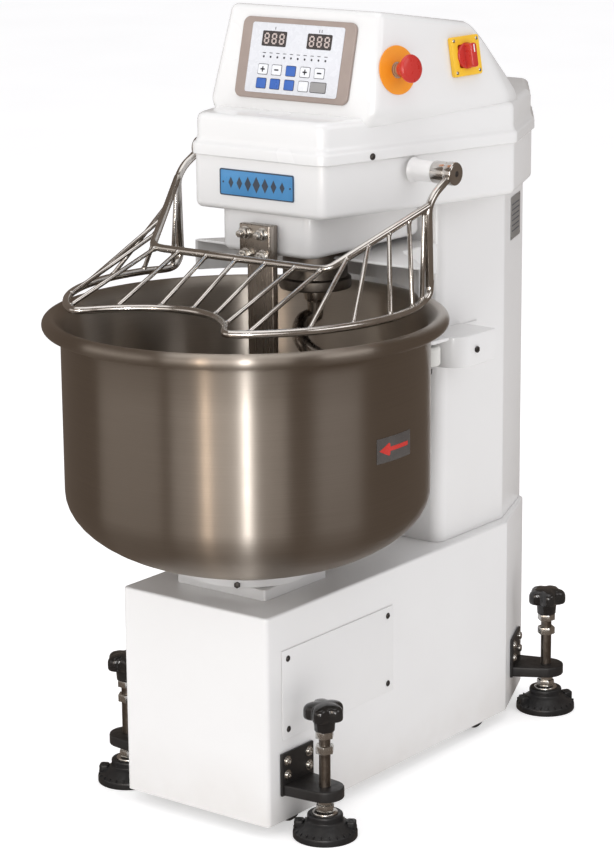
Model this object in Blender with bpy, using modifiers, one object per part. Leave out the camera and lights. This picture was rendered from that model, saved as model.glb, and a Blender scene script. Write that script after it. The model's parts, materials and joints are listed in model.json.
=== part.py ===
"""Spiral dough mixer: base, column, tapered head with console, bowl on a turntable, spiral tool, breaker bar, lifting guard, feet and drives.
Metres, +Z up, front towards -Y, floor at Z = 0."""

import math

import bmesh
import bpy
from mathutils import Matrix, Vector

GAP = 0.0003
SHEET = 0.003
PI = math.pi

# Axes and levels
BOWL_Y = -0.189
SPIRAL_Y = BOWL_Y + 0.176
FLOOR_CLEARANCE = 0.020
BASE_TOP = 0.354
HEAD_BOTTOM = 0.929
HEAD_TOP = 1.0115
COVER_CREASE = 1.030
COVER_SHOULDER = 1.0736

# Base and column
BASE_HALF = 0.1425
BASE_FRONT = BOWL_Y - 0.138
BASE_SIDE_END = BOWL_Y + 0.514
BASE_REAR = BOWL_Y + 0.667
BASE_REAR_HALF = 0.0745
COLUMN_HALF = 0.1235
COLUMN_FRONT = BOWL_Y + 0.3405
COLUMN_SIDE_END = BOWL_Y + 0.527
COLUMN_REAR = BOWL_Y + 0.673
COLUMN_REAR_HALF = 0.066
CORNER_RADIUS = 0.020

# Head
HEAD_FRONT = BOWL_Y + 0.032
HEAD_FRONT_HALF = 0.124
HEAD_WIDE = BOWL_Y + 0.402
HEAD_WIDE_HALF = 0.2225
HEAD_CHAMFER = BOWL_Y + 0.554
HEAD_CHAMFER_HALF = 0.156
HEAD_REAR = BOWL_Y + 0.679
HEAD_REAR_HALF = 0.070
LIP = 0.0047

# Console on top of the cover
CONSOLE_FRONT = BOWL_Y + 0.112
CONSOLE_HALF = 0.161
CONSOLE_Z = 1.069
SIDE_SPREAD = 0.190
SIDE_LEAN = -0.157
FRONT_LEAN = 0.245
CONSOLE_TOP_FRONT = 1.234
CONSOLE_TOP_REAR = 1.203
CONSOLE_CREST = BOWL_Y + 0.342
CONSOLE_TAIL = BOWL_Y + 0.463
CONSOLE_TAIL_HALF = 0.193

# Bowl
RIM_RADIUS = 0.300
RIM_TUBE = 0.0117
RIM_Z = 0.772
WALL_RADIUS = 0.2835
BOWL_SHEET = 0.004
DISH_REACH = 0.260
DISH_DEPTH = 0.125
DISH_BOTTOM = 0.386
TURNTABLE_RADIUS = 0.099
TURNTABLE_BOTTOM = 0.3732
SHAFT_RADIUS = 0.020

# Neck under the head, the tool's bearing and the breaker bar
NECK_FRONT = BOWL_Y + 0.050

# Guard
GUARD_HUB_Y = BOWL_Y + 0.198
GUARD_HUB_Z = 0.991
GUARD_HALF = 0.2445
RAIL_WIRE = 0.006
BAR_WIRE = 0.0036
LOWER_RAIL_Z = 0.806
RAIL_RADIUS = 0.272

# Feet and wheels
FOOT_OFFSET = 0.056
FOOT_Y = BOWL_Y - 0.070
LEDGE_BOTTOM = 0.0635
LEDGE_TOP = 0.0810
WHEEL_RADIUS = 0.028

# Controls on the right side of the console
ESTOP_Y = BOWL_Y + 0.172
ESTOP_Z = 1.144
SWITCH_Y = BOWL_Y + 0.313
SWITCH_Z = 1.1535

# Belt drives
BOWL_MOTOR_Y = BOWL_Y + 0.330
MOTOR_Y = BOWL_Y + 0.520
BOWL_PULLEY = 0.105
BOWL_MOTOR_PULLEY = 0.035
SPIRAL_PULLEY = 0.090
SPIRAL_MOTOR_PULLEY = 0.040


def clear_scene():
    for obj in list(bpy.data.objects):
        bpy.data.objects.remove(obj)


def make_collection(name, helper):
    made = bpy.data.collections.new(name)
    made.hide_render = helper
    bpy.context.scene.collection.children.link(made)
    return made


def make_material(name, color, roughness, metallic):
    made = bpy.data.materials.new(name)
    made.use_nodes = True
    shader = made.node_tree.nodes["Principled BSDF"]
    shader.inputs["Base Color"].default_value = (*color, 1.0)
    shader.inputs["Roughness"].default_value = roughness
    shader.inputs["Metallic"].default_value = metallic
    return made


def white_paint():
    return make_material("white_paint", (0.80, 0.79, 0.76), 0.35, 0.0)


def brushed_steel():
    return make_material("brushed_steel", (0.42, 0.40, 0.38), 0.32, 1.0)


def polished_steel():
    return make_material("polished_steel", (0.62, 0.61, 0.59), 0.22, 1.0)


def dark_steel():
    return make_material("dark_steel", (0.10, 0.09, 0.09), 0.45, 0.8)


def cast_iron():
    return make_material("cast_iron", (0.16, 0.17, 0.18), 0.6, 0.6)


def belt_rubber():
    return make_material("belt_rubber", (0.03, 0.03, 0.03), 0.8, 0.0)


def black_plastic():
    return make_material("black_plastic", (0.03, 0.03, 0.03), 0.5, 0.0)


def beige_plastic():
    return make_material("beige_plastic", (0.52, 0.42, 0.36), 0.4, 0.0)


def keypad_film():
    return make_material("keypad_film", (0.78, 0.84, 0.92), 0.35, 0.0)


def blue_plate():
    return make_material("blue_plate", (0.07, 0.26, 0.60), 0.3, 0.0)


def grey_plate():
    return make_material("grey_plate", (0.50, 0.50, 0.50), 0.4, 0.6)


def yellow_plastic():
    return make_material("yellow_plastic", (0.92, 0.42, 0.04), 0.4, 0.0)


def red_plastic():
    return make_material("red_plastic", (0.62, 0.04, 0.03), 0.3, 0.0)


def nylon():
    return make_material("nylon", (0.75, 0.74, 0.70), 0.5, 0.0)


def board_green():
    return make_material("board_green", (0.03, 0.20, 0.08), 0.5, 0.0)


def motor_blue():
    return make_material("motor_blue", (0.08, 0.14, 0.24), 0.5, 0.2)


def finish(name, bm, where, material=None, smooth=True):
    """Turns a bmesh into an object of the given collection."""
    bmesh.ops.recalc_face_normals(bm, faces=bm.faces)
    mesh = bpy.data.meshes.new(name)
    bm.to_mesh(mesh)
    bm.free()
    obj = bpy.data.objects.new(name, mesh)
    where.objects.link(obj)
    if material:
        mesh.materials.append(material)
    for face in mesh.polygons:
        face.use_smooth = smooth
    if smooth:
        mark_sharp(mesh)
    if where.hide_render:
        obj.hide_render = True
        obj.display_type = "WIRE"
    return obj


def mark_sharp(mesh, angle=math.radians(40)):
    bm = bmesh.new()
    bm.from_mesh(mesh)
    for edge in bm.edges:
        edge.smooth = len(edge.link_faces) == 2 and edge.calc_face_angle(0) < angle
    bm.to_mesh(mesh)
    bm.free()


def bridge_rings(bm, rings, wrap):
    count = len(rings)
    pairs = range(count) if wrap else range(count - 1)
    for i in pairs:
        first = rings[i]
        second = rings[(i + 1) % count]
        size = max(len(first), len(second))
        for j in range(size):
            corners = [first[j % len(first)], first[(j + 1) % len(first)]]
            corners += [second[(j + 1) % len(second)], second[j % len(second)]]
            kept = []
            for vertex in corners:
                if vertex not in kept:
                    kept.append(vertex)
            if len(kept) > 2:
                bm.faces.new(kept)


def lathe_mesh(profile, segments, closed=True):
    """A profile of (radius, height) turned about Z. Points on the axis close the shape."""
    bm = bmesh.new()
    rings = []
    for radius, height in profile:
        if radius < 1e-6:
            rings.append([bm.verts.new((0, 0, height))])
            continue
        ring = []
        for i in range(segments):
            turn = 2 * PI * i / segments
            ring.append(bm.verts.new((radius * math.cos(turn), radius * math.sin(turn), height)))
        rings.append(ring)
    wrap = closed and len(rings[0]) > 1 and len(rings[-1]) > 1
    bridge_rings(bm, rings, wrap)
    return bm


def loft_mesh(rings):
    """Rings of points with equal counts, joined in order and capped."""
    bm = bmesh.new()
    made = [[bm.verts.new(p) for p in ring] for ring in rings]
    bridge_rings(bm, made, False)
    bm.faces.new(made[0])
    bm.faces.new(made[-1])
    return bm


def sweep_mesh(points, radius, sides):
    """A round bar along a path of points. radius may be a list, one per point."""
    points = [Vector(p) for p in points]
    radii = radius if isinstance(radius, list) else [radius] * len(points)
    tangents = []
    for i in range(len(points)):
        before = points[max(i - 1, 0)]
        after = points[min(i + 1, len(points) - 1)]
        tangents.append((after - before).normalized())
    side = tangents[0].orthogonal().normalized()
    rings = []
    for point, tangent, size in zip(points, tangents, radii):
        side = (side - tangent * side.dot(tangent)).normalized()
        other = tangent.cross(side)
        ring = []
        for i in range(sides):
            turn = 2 * PI * (i + 0.5) / sides
            ring.append(point + side * (math.cos(turn) * size) + other * (math.sin(turn) * size))
        rings.append(ring)
    return loft_mesh(rings)


def rounded(outline, radius, steps=3):
    """Corners of a plan outline replaced by arcs of about this radius."""
    result = []
    count = len(outline)
    for i in range(count):
        here = Vector(outline[i])
        before = Vector(outline[i - 1])
        after = Vector(outline[(i + 1) % count])
        back = (before - here).normalized()
        ahead = (after - here).normalized()
        half = back.angle(ahead) / 2
        reach = min(radius / math.tan(half), (before - here).length * 0.45, (after - here).length * 0.45)
        true_radius = reach * math.tan(half)
        centre = here + (back + ahead).normalized() * (true_radius / math.sin(half))
        start = here + back * reach - centre
        stop = here + ahead * reach - centre
        for step in range(steps + 1):
            mixed = start.lerp(stop, step / steps).normalized() * true_radius
            result.append(tuple(centre + mixed))
    return result


def offset_outline(outline, amount):
    """A convex plan outline moved outwards by the amount."""
    result = []
    count = len(outline)
    for i in range(count):
        here = Vector(outline[i])
        back = (here - Vector(outline[i - 1])).normalized()
        ahead = (Vector(outline[(i + 1) % count]) - here).normalized()
        first = Vector((back.y, -back.x))
        second = Vector((ahead.y, -ahead.x))
        lean = (first + second).normalized()
        result.append(tuple(here + lean * (amount / max(lean.dot(first), 0.3))))
    return result


def at_height(outline, z):
    return [(x, y, z) for x, y in outline]


def prism_mesh(outline, bottom, top):
    return loft_mesh([at_height(outline, bottom), at_height(outline, top)])


def box_mesh(low, high):
    outline = [(low[0], low[1]), (high[0], low[1]), (high[0], high[1]), (low[0], high[1])]
    return prism_mesh(outline, low[2], high[2])


def cylinder_mesh(radius, bottom, top, segments=24):
    return lathe_mesh([(0, bottom), (radius, bottom), (radius, top), (0, top)], segments)


def tube_mesh(outer, inner, bottom, top, segments=24):
    return lathe_mesh([(inner, bottom), (outer, bottom), (outer, top), (inner, top)], segments)


def moved(bm, offset=(0, 0, 0), turn=None):
    if turn is not None:
        bmesh.ops.transform(bm, matrix=turn, verts=bm.verts)
    bmesh.ops.translate(bm, vec=Vector(offset), verts=bm.verts)
    return bm


def joined_by(target, other, operation):
    modifier = target.modifiers.new(operation.lower(), "BOOLEAN")
    modifier.operation = operation
    modifier.solver = "EXACT"
    modifier.object = other
    return target


def cut(target, bm):
    cutter = finish(target.name + "_cut" + str(len(target.modifiers)), bm, CUTTERS)
    return joined_by(target, cutter, "DIFFERENCE")


def add(target, bm):
    extra = finish(target.name + "_add" + str(len(target.modifiers)), bm, CUTTERS)
    return joined_by(target, extra, "UNION")


def pivot(obj, centre):
    """Puts the origin of a moving piece on its axis."""
    centre = Vector(centre)
    obj.data.transform(Matrix.Translation(-centre))
    obj.location = centre
    for modifier in obj.modifiers:
        helper = modifier.object
        helper.data.transform(Matrix.Translation(-centre))
        helper.location = centre
    return obj


def bevel(obj, width, segments=2, angle=30):
    modifier = obj.modifiers.new("bevel", "BEVEL")
    modifier.width = width
    modifier.segments = segments
    modifier.limit_method = "ANGLE"
    modifier.angle_limit = math.radians(angle)
    modifier.use_clamp_overlap = True
    return obj


def mirrored_outline(right_side):
    """A full plan outline from the points of its right half, front to rear."""
    left_side = [(-x, y) for x, y in reversed(right_side)]
    return right_side + left_side


def base_outline():
    right = [(BASE_HALF, BASE_FRONT), (BASE_HALF, BASE_SIDE_END), (BASE_REAR_HALF, BASE_REAR)]
    return mirrored_outline(right)


def column_outline():
    right = [(COLUMN_HALF, COLUMN_FRONT), (COLUMN_HALF, COLUMN_SIDE_END), (COLUMN_REAR_HALF, COLUMN_REAR)]
    return mirrored_outline(right)


def head_outline():
    right = [(HEAD_FRONT_HALF, HEAD_FRONT), (HEAD_WIDE_HALF, HEAD_WIDE)]
    right += [(HEAD_CHAMFER_HALF, HEAD_CHAMFER), (HEAD_REAR_HALF, HEAD_REAR)]
    return mirrored_outline(right)


# ---------------------------------------------------------------- base and column

def build_base(paint):
    outline = rounded(base_outline(), 0.008, 2)
    inner = offset_outline(base_outline(), -SHEET)
    base = finish("base_frame", prism_mesh(outline, FLOOR_CLEARANCE, BASE_TOP), PARTS, paint)
    cut(base, prism_mesh(inner, FLOOR_CLEARANCE - 0.01, BASE_TOP - SHEET))
    cut(base, moved(cylinder_mesh(0.032, BASE_TOP - 0.02, BASE_TOP + 0.02), (0, BOWL_Y, 0)))
    return base


def build_plinth(paint):
    outline = mirrored_outline([(0.087, BOWL_Y - 0.071), (0.087, BOWL_Y + 0.085)])
    plinth = finish("turntable_plinth", prism_mesh(rounded(outline, 0.004, 2), BASE_TOP + GAP, 0.3722), PARTS, paint)
    cut(plinth, moved(cylinder_mesh(0.032, BASE_TOP - 0.02, BASE_TOP + 0.04), (0, BOWL_Y, 0)))
    return plinth


def build_side_panel(paint):
    low_y = BOWL_Y - 0.1035
    high_y = BOWL_Y + 0.184
    low_z = 0.152
    high_z = 0.294
    face = BASE_HALF + GAP
    plate = finish("side_panel", box_mesh((face, low_y, low_z), (face + 0.0016, high_y, high_z)), PARTS, paint)
    inset = 0.0145
    for y in (low_y + inset, high_y - inset):
        for z in (low_z + inset, high_z - inset):
            screw = cylinder_mesh(0.0045, 0.0008, 0.0042, 10)
            add(plate, moved(screw, (face, y, z), Matrix.Rotation(PI / 2, 4, "Y")))
    return plate


def build_column(paint):
    outline = rounded(column_outline(), CORNER_RADIUS, 3)
    inner = rounded(offset_outline(column_outline(), -SHEET), CORNER_RADIUS - SHEET, 3)
    column = finish("column_shell", prism_mesh(outline, BASE_TOP + GAP, HEAD_BOTTOM - GAP), PARTS, paint)
    cut(column, prism_mesh(inner, BASE_TOP - 0.02, HEAD_BOTTOM + 0.02))
    opening = box_mesh((-0.044, COLUMN_REAR - 0.02, 0.40), (0.044, COLUMN_REAR + 0.02, 0.88))
    cut(column, opening)
    return column


def build_rear_cover(paint):
    face = COLUMN_REAR + GAP
    cover = finish("rear_cover", box_mesh((-0.058, face, 0.385), (0.058, face + 0.0016, 0.895)), PARTS, paint)
    for x in (-0.050, 0.050):
        for z in (0.395, 0.640, 0.885):
            screw = cylinder_mesh(0.0045, 0.0008, 0.0042, 8)
            add(cover, moved(screw, (x, face, z), Matrix.Rotation(-PI / 2, 4, "X")))
    return cover


# ---------------------------------------------------------------- head

def build_head_body(paint):
    outline = head_outline()
    rings = []
    for inset, height in ((0.009, HEAD_BOTTOM), (0.003, HEAD_BOTTOM + 0.003), (0.0, HEAD_BOTTOM + 0.010), (0.0, HEAD_TOP)):
        rings.append(at_height(rounded(offset_outline(outline, -inset), 0.016, 3), height))
    body = finish("head_body", loft_mesh(rings), PARTS, paint)
    inner = rounded(offset_outline(outline, -0.0125), 0.008, 3)
    cut(body, prism_mesh(inner, HEAD_BOTTOM + 0.004, HEAD_TOP + 0.02))
    cut(body, moved(cylinder_mesh(0.0525, HEAD_BOTTOM - 0.02, HEAD_BOTTOM + 0.02), (0, SPIRAL_Y, 0)))
    cut(body, moved(cylinder_mesh(0.030, HEAD_BOTTOM - 0.02, HEAD_BOTTOM + 0.02), (0, MOTOR_Y, 0)))
    return body


def build_neck(paint):
    half = 0.092
    front = NECK_FRONT
    rear = COLUMN_FRONT - GAP
    outline = rounded([(half, front), (half, rear), (-half, rear), (-half, front)], 0.024, 4)
    rings = []
    for inset, height in ((0.010, 0.8630), (0.003, 0.8655), (0.0, 0.8720), (0.0, HEAD_BOTTOM - GAP)):
        rings.append(at_height(offset_outline(outline, -inset), height))
    neck = finish("head_neck", loft_mesh(rings), PARTS, paint)
    cut(neck, moved(cylinder_mesh(0.0525, 0.80, HEAD_BOTTOM + 0.02, 24), (0, SPIRAL_Y, 0)))
    return neck


def console_half(y, z):
    return CONSOLE_HALF + SIDE_SPREAD * (y - CONSOLE_FRONT) + SIDE_LEAN * (z - CONSOLE_Z)


def console_front(z):
    return CONSOLE_FRONT + FRONT_LEAN * (z - CONSOLE_Z)


def console_mesh(inset):
    """Console with a leaning front, leaning sides and a sloping back."""
    low = CONSOLE_Z - 0.012 + min(inset, 0.004)
    top_front = CONSOLE_TOP_FRONT - inset
    top_rear = CONSOLE_TOP_REAR - inset
    tail = COVER_SHOULDER + 0.006 - inset * 2.5
    wide = HEAD_WIDE - 0.004
    low_half = console_half(wide, CONSOLE_Z)
    table = (
        ("low_front", console_front(low) + inset, low, console_half(CONSOLE_FRONT, CONSOLE_Z)),
        ("top_front", console_front(top_front) + inset, top_front, console_half(console_front(top_front), top_front)),
        ("crest", CONSOLE_CREST - inset * 0.5, top_rear, console_half(CONSOLE_CREST, top_rear)),
        ("tail", CONSOLE_TAIL - inset * 2.0, tail, CONSOLE_TAIL_HALF),
        ("low_tail", CONSOLE_TAIL - inset * 2.0, low, CONSOLE_TAIL_HALF),
        ("low_wide", wide, low, low_half),
    )
    bm = bmesh.new()
    points = {}
    for name, y, z, half in table:
        points[name] = [bm.verts.new((side * (half - inset), y, z)) for side in (-1, 1)]
    order = ["low_front", "top_front", "crest", "tail", "low_tail", "low_wide"]
    for i, name in enumerate(order):
        following = order[(i + 1) % len(order)]
        bm.faces.new(points[name] + points[following][::-1])
    for side in (0, 1):
        for names in (("low_front", "top_front", "crest", "low_wide"), ("low_wide", "crest", "tail"), ("low_wide", "tail", "low_tail")):
            bm.faces.new([points[name][side] for name in names])
    return bm


def build_head_cover(paint):
    outline = head_outline()
    levels = (
        (LIP, HEAD_TOP + GAP),
        (LIP, COVER_CREASE - 0.004),
        (LIP - 0.0015, COVER_CREASE),
        (-0.0017, COVER_CREASE + 0.006),
        (-0.0017, COVER_SHOULDER - 0.006),
        (-0.0035, COVER_SHOULDER - 0.001),
        (-0.0085, COVER_SHOULDER + 0.002),
    )
    rings = []
    for amount, height in levels:
        rings.append(at_height(rounded(offset_outline(outline, amount), 0.020, 3), height))
    cover = finish("head_cover", loft_mesh(rings), PARTS, paint)
    console = finish("head_cover_console", console_mesh(0.0), CUTTERS)
    bevel(console, 0.011, 3, 35)
    joined_by(cover, console, "UNION")
    inner = rounded(offset_outline(outline, -0.006), 0.012, 3)
    cut(cover, prism_mesh(inner, HEAD_TOP - 0.02, COVER_SHOULDER - 0.003))
    hollow = finish("head_cover_hollow", console_mesh(0.006), CUTTERS)
    joined_by(cover, hollow, "DIFFERENCE")
    add_screw(cover)
    for name, y, z, radius in (("estop", ESTOP_Y, ESTOP_Z, 0.0115), ("switch", SWITCH_Y, SWITCH_Z, 0.0085)):
        frame = side_frame(1, y, z)
        hole = cylinder_mesh(radius, -0.03, 0.02, 20)
        cut(cover, moved(hole, (0, 0, 0), frame))
    return cover


def add_screw(cover):
    """Dome screw on each side of the cover's lip."""
    slope = math.atan2(HEAD_WIDE_HALF - HEAD_FRONT_HALF, HEAD_WIDE - HEAD_FRONT)
    y = BOWL_Y + 0.121
    reach = HEAD_FRONT_HALF + math.tan(slope) * (y - HEAD_FRONT) + LIP
    for side in (-1, 1):
        screw = lathe_mesh([(0, -0.002), (0.005, -0.002), (0.005, 0.0012), (0.003, 0.0035), (0, 0.0042)], 10)
        turn = Matrix.Rotation(-side * slope, 4, "Z") @ Matrix.Rotation(side * PI / 2, 4, "Y")
        add(cover, moved(screw, (side * reach, y, 1.0185), turn))


def side_frame(side, y, z):
    """A frame on the console's side: local Z points straight out of the leaning face."""
    normal = Vector((1.0, -SIDE_SPREAD, -SIDE_LEAN)).normalized()
    up = (Vector((SIDE_LEAN, 0, 1)) - normal * normal.dot(Vector((SIDE_LEAN, 0, 1)))).normalized()
    across = up.cross(normal)
    turn = Matrix((across, up, normal)).transposed().to_4x4()
    return Matrix.Translation(Vector((console_half(y, z), y, z))) @ turn


def front_frame(z, lift=0.0):
    """A frame on the console's leaning front: local Z points out of it, local Y up it."""
    normal = Vector((0, -1.0, FRONT_LEAN)).normalized()
    up = Vector((0, FRONT_LEAN, 1.0)).normalized()
    across = up.cross(normal)
    turn = Matrix((across, up, normal)).transposed().to_4x4()
    return Matrix.Translation(Vector((0, console_front(z), z)) + normal * lift) @ turn


def plate_mesh(half_width, half_height, bottom, top, radius, shift=(0, 0)):
    outline = []
    for x, y in ((half_width, -half_height), (half_width, half_height), (-half_width, half_height), (-half_width, -half_height)):
        outline.append((x + shift[0], y + shift[1]))
    return prism_mesh(rounded(outline, radius, 3), bottom, top)


def build_bezel(material):
    frame = front_frame(1.1525)
    return finish("panel_bezel", moved(plate_mesh(0.109, 0.0625, GAP, 0.0045, 0.012), turn=frame), PARTS, material)


def build_keypad(material):
    frame = front_frame(1.1525)
    return finish("panel_keypad", moved(plate_mesh(0.0885, 0.0540, 0.0048, 0.0058, 0.006), turn=frame), PARTS, material)


def build_nameplate(material):
    turn = Matrix.Translation((0, HEAD_FRONT - GAP, 0.9735)) @ Matrix.Rotation(PI / 2, 4, "X")
    plate = finish("nameplate", moved(plate_mesh(0.0715, 0.0205, 0.0, 0.0016, 0.003), turn=turn), PARTS, material)
    return plate


def chamfer_frame(along, z, outline_front, outline_rear, lift):
    start = Vector((*outline_front, z))
    stop = Vector((*outline_rear, z))
    direction = (stop - start).normalized()
    normal = Vector((direction.y, -direction.x, 0))
    up = Vector((0, 0, 1))
    across = up.cross(normal)
    turn = Matrix((across, up, normal)).transposed().to_4x4()
    return Matrix.Translation(start.lerp(stop, along) + normal * lift) @ turn


def build_rating_plate(material):
    front = (COLUMN_HALF, COLUMN_SIDE_END)
    rear = (COLUMN_REAR_HALF, COLUMN_REAR)
    frame = chamfer_frame(0.53, 0.855, front, rear, GAP)
    return finish("rating_plate", moved(plate_mesh(0.037, 0.036, 0.0, 0.0008, 0.002), turn=frame), PARTS, material)


# ---------------------------------------------------------------- controls

def build_estop(ring_material, button_material, body_material):
    frame = side_frame(1, ESTOP_Y, ESTOP_Z)
    ring = tube_mesh(0.037, 0.0125, GAP, 0.0022, 36)
    finish("estop_ring", moved(ring, turn=frame), PARTS, ring_material)
    profile = [(0, 0.0095), (0.0110, 0.0095), (0.0125, 0.0150), (0.0160, 0.0225), (0.0205, 0.0275)]
    profile += [(0.0218, 0.0315), (0.0205, 0.0345), (0.0140, 0.0360), (0, 0.0366)]
    button = finish("estop_button", moved(lathe_mesh(profile, 28), turn=frame), PARTS, button_material)
    add(button, moved(cylinder_mesh(0.0065, -0.0085, 0.0110, 16), turn=frame))
    pivot(button, frame.translation)
    block = [(0, -0.040), (0.0150, -0.040), (0.0150, -0.0100), (0.0105, -0.0100)]
    block += [(0.0105, 0.0036), (0.0072, 0.0036), (0.0072, -0.0145), (0, -0.0145)]
    finish("estop_block", moved(lathe_mesh(block, 20), turn=frame), PARTS, body_material)


def build_switch(plate_material, knob_material, body_material):
    frame = side_frame(1, SWITCH_Y, SWITCH_Z)
    plate = finish("switch_plate", moved(plate_mesh(0.030, 0.0305, GAP, 0.0024, 0.005), turn=frame), PARTS, plate_material)
    cut(plate, moved(cylinder_mesh(0.0085, -0.01, 0.02, 20), turn=frame))
    knob_profile = [(0, 0.0028), (0.0200, 0.0028), (0.0205, 0.0070), (0.0195, 0.0100), (0, 0.0100)]
    knob = finish("switch_knob", moved(lathe_mesh(knob_profile, 28), turn=frame), PARTS, knob_material)
    grip = plate_mesh(0.0065, 0.0185, 0.0095, 0.0250, 0.003)
    add(knob, moved(grip, turn=frame))
    add(knob, moved(cylinder_mesh(0.0045, -0.0100, 0.0050, 14), turn=frame))
    pivot(knob, frame.translation)
    body = finish("switch_body", moved(plate_mesh(0.024, 0.024, -0.052, -0.0110, 0.003), turn=frame), PARTS, body_material)
    cut(body, moved(cylinder_mesh(0.0052, -0.0250, 0.02, 14), turn=frame))


def build_control_board(material):
    frame = front_frame(1.1525)
    board = plate_mesh(0.085, 0.048, -0.0200, -0.0180, 0.002)
    made = finish("control_board", moved(board, turn=frame), PARTS, material)
    add(made, moved(plate_mesh(0.030, 0.014, -0.0310, -0.0190, 0.002, (-0.035, 0.018)), turn=frame))
    add(made, moved(plate_mesh(0.022, 0.010, -0.0280, -0.0190, 0.002, (0.040, -0.020)), turn=frame))


# ---------------------------------------------------------------- bowl and its drive

def bowl_profile():
    """Closed section: up the inside, over the rolled rim and down the outside."""
    outer = []
    steps = 6
    shoulder = DISH_BOTTOM + DISH_DEPTH
    for i in range(steps + 1):
        turn = PI / 2 * (1 - i / steps)
        radius = WALL_RADIUS - DISH_REACH + DISH_REACH * math.cos(turn)
        outer.append((radius, shoulder - DISH_DEPTH * math.sin(turn)))
    outer.append((WALL_RADIUS, RIM_Z - 0.020))
    rim = []
    for i in range(8):
        turn = math.radians(-150 + 300 * i / 7)
        rim.append((RIM_RADIUS + RIM_TUBE * math.cos(turn), RIM_Z + RIM_TUBE * math.sin(turn)))
    inner = []
    for i in range(steps + 1):
        turn = PI / 2 * i / steps
        radius = WALL_RADIUS - BOWL_SHEET - DISH_REACH + DISH_REACH * math.cos(turn)
        inner.append((radius, shoulder - (DISH_DEPTH - BOWL_SHEET) * math.sin(turn)))
    profile = [(0, DISH_BOTTOM)] + outer + rim + [(WALL_RADIUS - BOWL_SHEET, RIM_Z - 0.004)]
    return profile + inner + [(0, DISH_BOTTOM + BOWL_SHEET)]


def build_bowl(material):
    bowl = finish("bowl", moved(lathe_mesh(bowl_profile(), 48), (0, BOWL_Y, 0)), PARTS, material)
    return pivot(bowl, (0, BOWL_Y, RIM_Z))


def build_turntable(material):
    top = DISH_BOTTOM - GAP
    profile = [(0, TURNTABLE_BOTTOM), (TURNTABLE_RADIUS, TURNTABLE_BOTTOM), (TURNTABLE_RADIUS, top - 0.002)]
    profile += [(TURNTABLE_RADIUS - 0.002, top), (0, top)]
    plate = finish("turntable", moved(lathe_mesh(profile, 48), (0, BOWL_Y, 0)), PARTS, material)
    return pivot(plate, (0, BOWL_Y, TURNTABLE_BOTTOM))


def build_bowl_shaft(material):
    bottom = 0.115
    profile = [(0, bottom), (0.014, bottom), (0.014, 0.178), (SHAFT_RADIUS, 0.180)]
    profile += [(SHAFT_RADIUS, TURNTABLE_BOTTOM - GAP), (0, TURNTABLE_BOTTOM - GAP)]
    shaft = finish("bowl_shaft", moved(lathe_mesh(profile, 20), (0, BOWL_Y, 0)), PARTS, material)
    return pivot(shaft, (0, BOWL_Y, bottom))


def build_bowl_bearing(material):
    top = BASE_TOP - SHEET - GAP
    profile = [(0.0206, 0.186), (0.046, 0.186), (0.046, top - 0.012), (0.078, top - 0.010), (0.078, top), (0.0206, top)]
    return finish("bowl_bearing", moved(lathe_mesh(profile, 28), (0, BOWL_Y, 0)), PARTS, material)


def pulley_mesh(radius, bore, bottom, top, segments):
    """V-belt pulley with two rims and a groove floor."""
    floor = radius - 0.008
    middle = (bottom + top) / 2
    groove = 0.0085
    profile = [(bore, bottom), (radius, bottom), (radius, middle - groove), (floor, middle - groove * 0.6)]
    profile += [(floor, middle + groove * 0.6), (radius, middle + groove), (radius, top), (bore, top)]
    return lathe_mesh(profile, segments)


def belt_mesh(first, first_radius, second, second_radius, middle, depth, thick):
    """A belt loop round two pulleys that stand on Y."""
    distance = abs(second - first)
    lean = math.asin((first_radius - second_radius) / distance)
    sign = 1 if second > first else -1
    steps = 14
    loop = []
    for centre, radius, start, stop in (
        (first, first_radius, PI / 2 - lean, 3 * PI / 2 + lean),
        (second, second_radius, -PI / 2 + lean, PI / 2 - lean),
    ):
        for i in range(steps + 1):
            turn = start + (stop - start) * i / steps
            loop.append((centre, radius, turn))
    bm = bmesh.new()
    rings = []
    for centre, radius, turn in loop:
        ring = []
        for out, up in ((0, -depth), (thick, -depth), (thick, depth), (0, depth)):
            along = math.cos(turn) * (radius + out) * sign
            across = math.sin(turn) * (radius + out)
            ring.append(bm.verts.new((across, centre + along, middle + up)))
        rings.append(ring)
    bridge_rings(bm, rings, True)
    return bm


def build_bowl_drive(iron, rubber, blue):
    pulley = pulley_mesh(BOWL_PULLEY, 0.0143, 0.130, 0.158, 32)
    made = finish("bowl_pulley", moved(pulley, (0, BOWL_Y, 0)), PARTS, iron)
    pivot(made, (0, BOWL_Y, 0.130))
    belt = belt_mesh(BOWL_Y, BOWL_PULLEY - 0.0060, BOWL_MOTOR_Y, BOWL_MOTOR_PULLEY - 0.0060, 0.144, 0.0042, 0.0085)
    finish("bowl_belt", belt, PARTS, rubber)
    motor = motor_mesh(0.062, 0.176, 0.340)
    body = finish("bowl_motor", moved(motor, (0, BOWL_MOTOR_Y, 0)), PARTS, blue)
    add(body, moved(box_mesh((-0.085, -0.045, 0.338), (0.085, 0.045, 0.3505)), (0, BOWL_MOTOR_Y, 0)))
    small = pulley_mesh(BOWL_MOTOR_PULLEY, 0.004, 0.130, 0.158, 18)
    low = finish("bowl_motor_pulley", moved(small, (0, BOWL_MOTOR_Y, 0)), PARTS, iron)
    add(low, moved(cylinder_mesh(0.009, 0.122, 0.1755, 16), (0, BOWL_MOTOR_Y, 0)))
    pivot(low, (0, BOWL_MOTOR_Y, 0.130))


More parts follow.
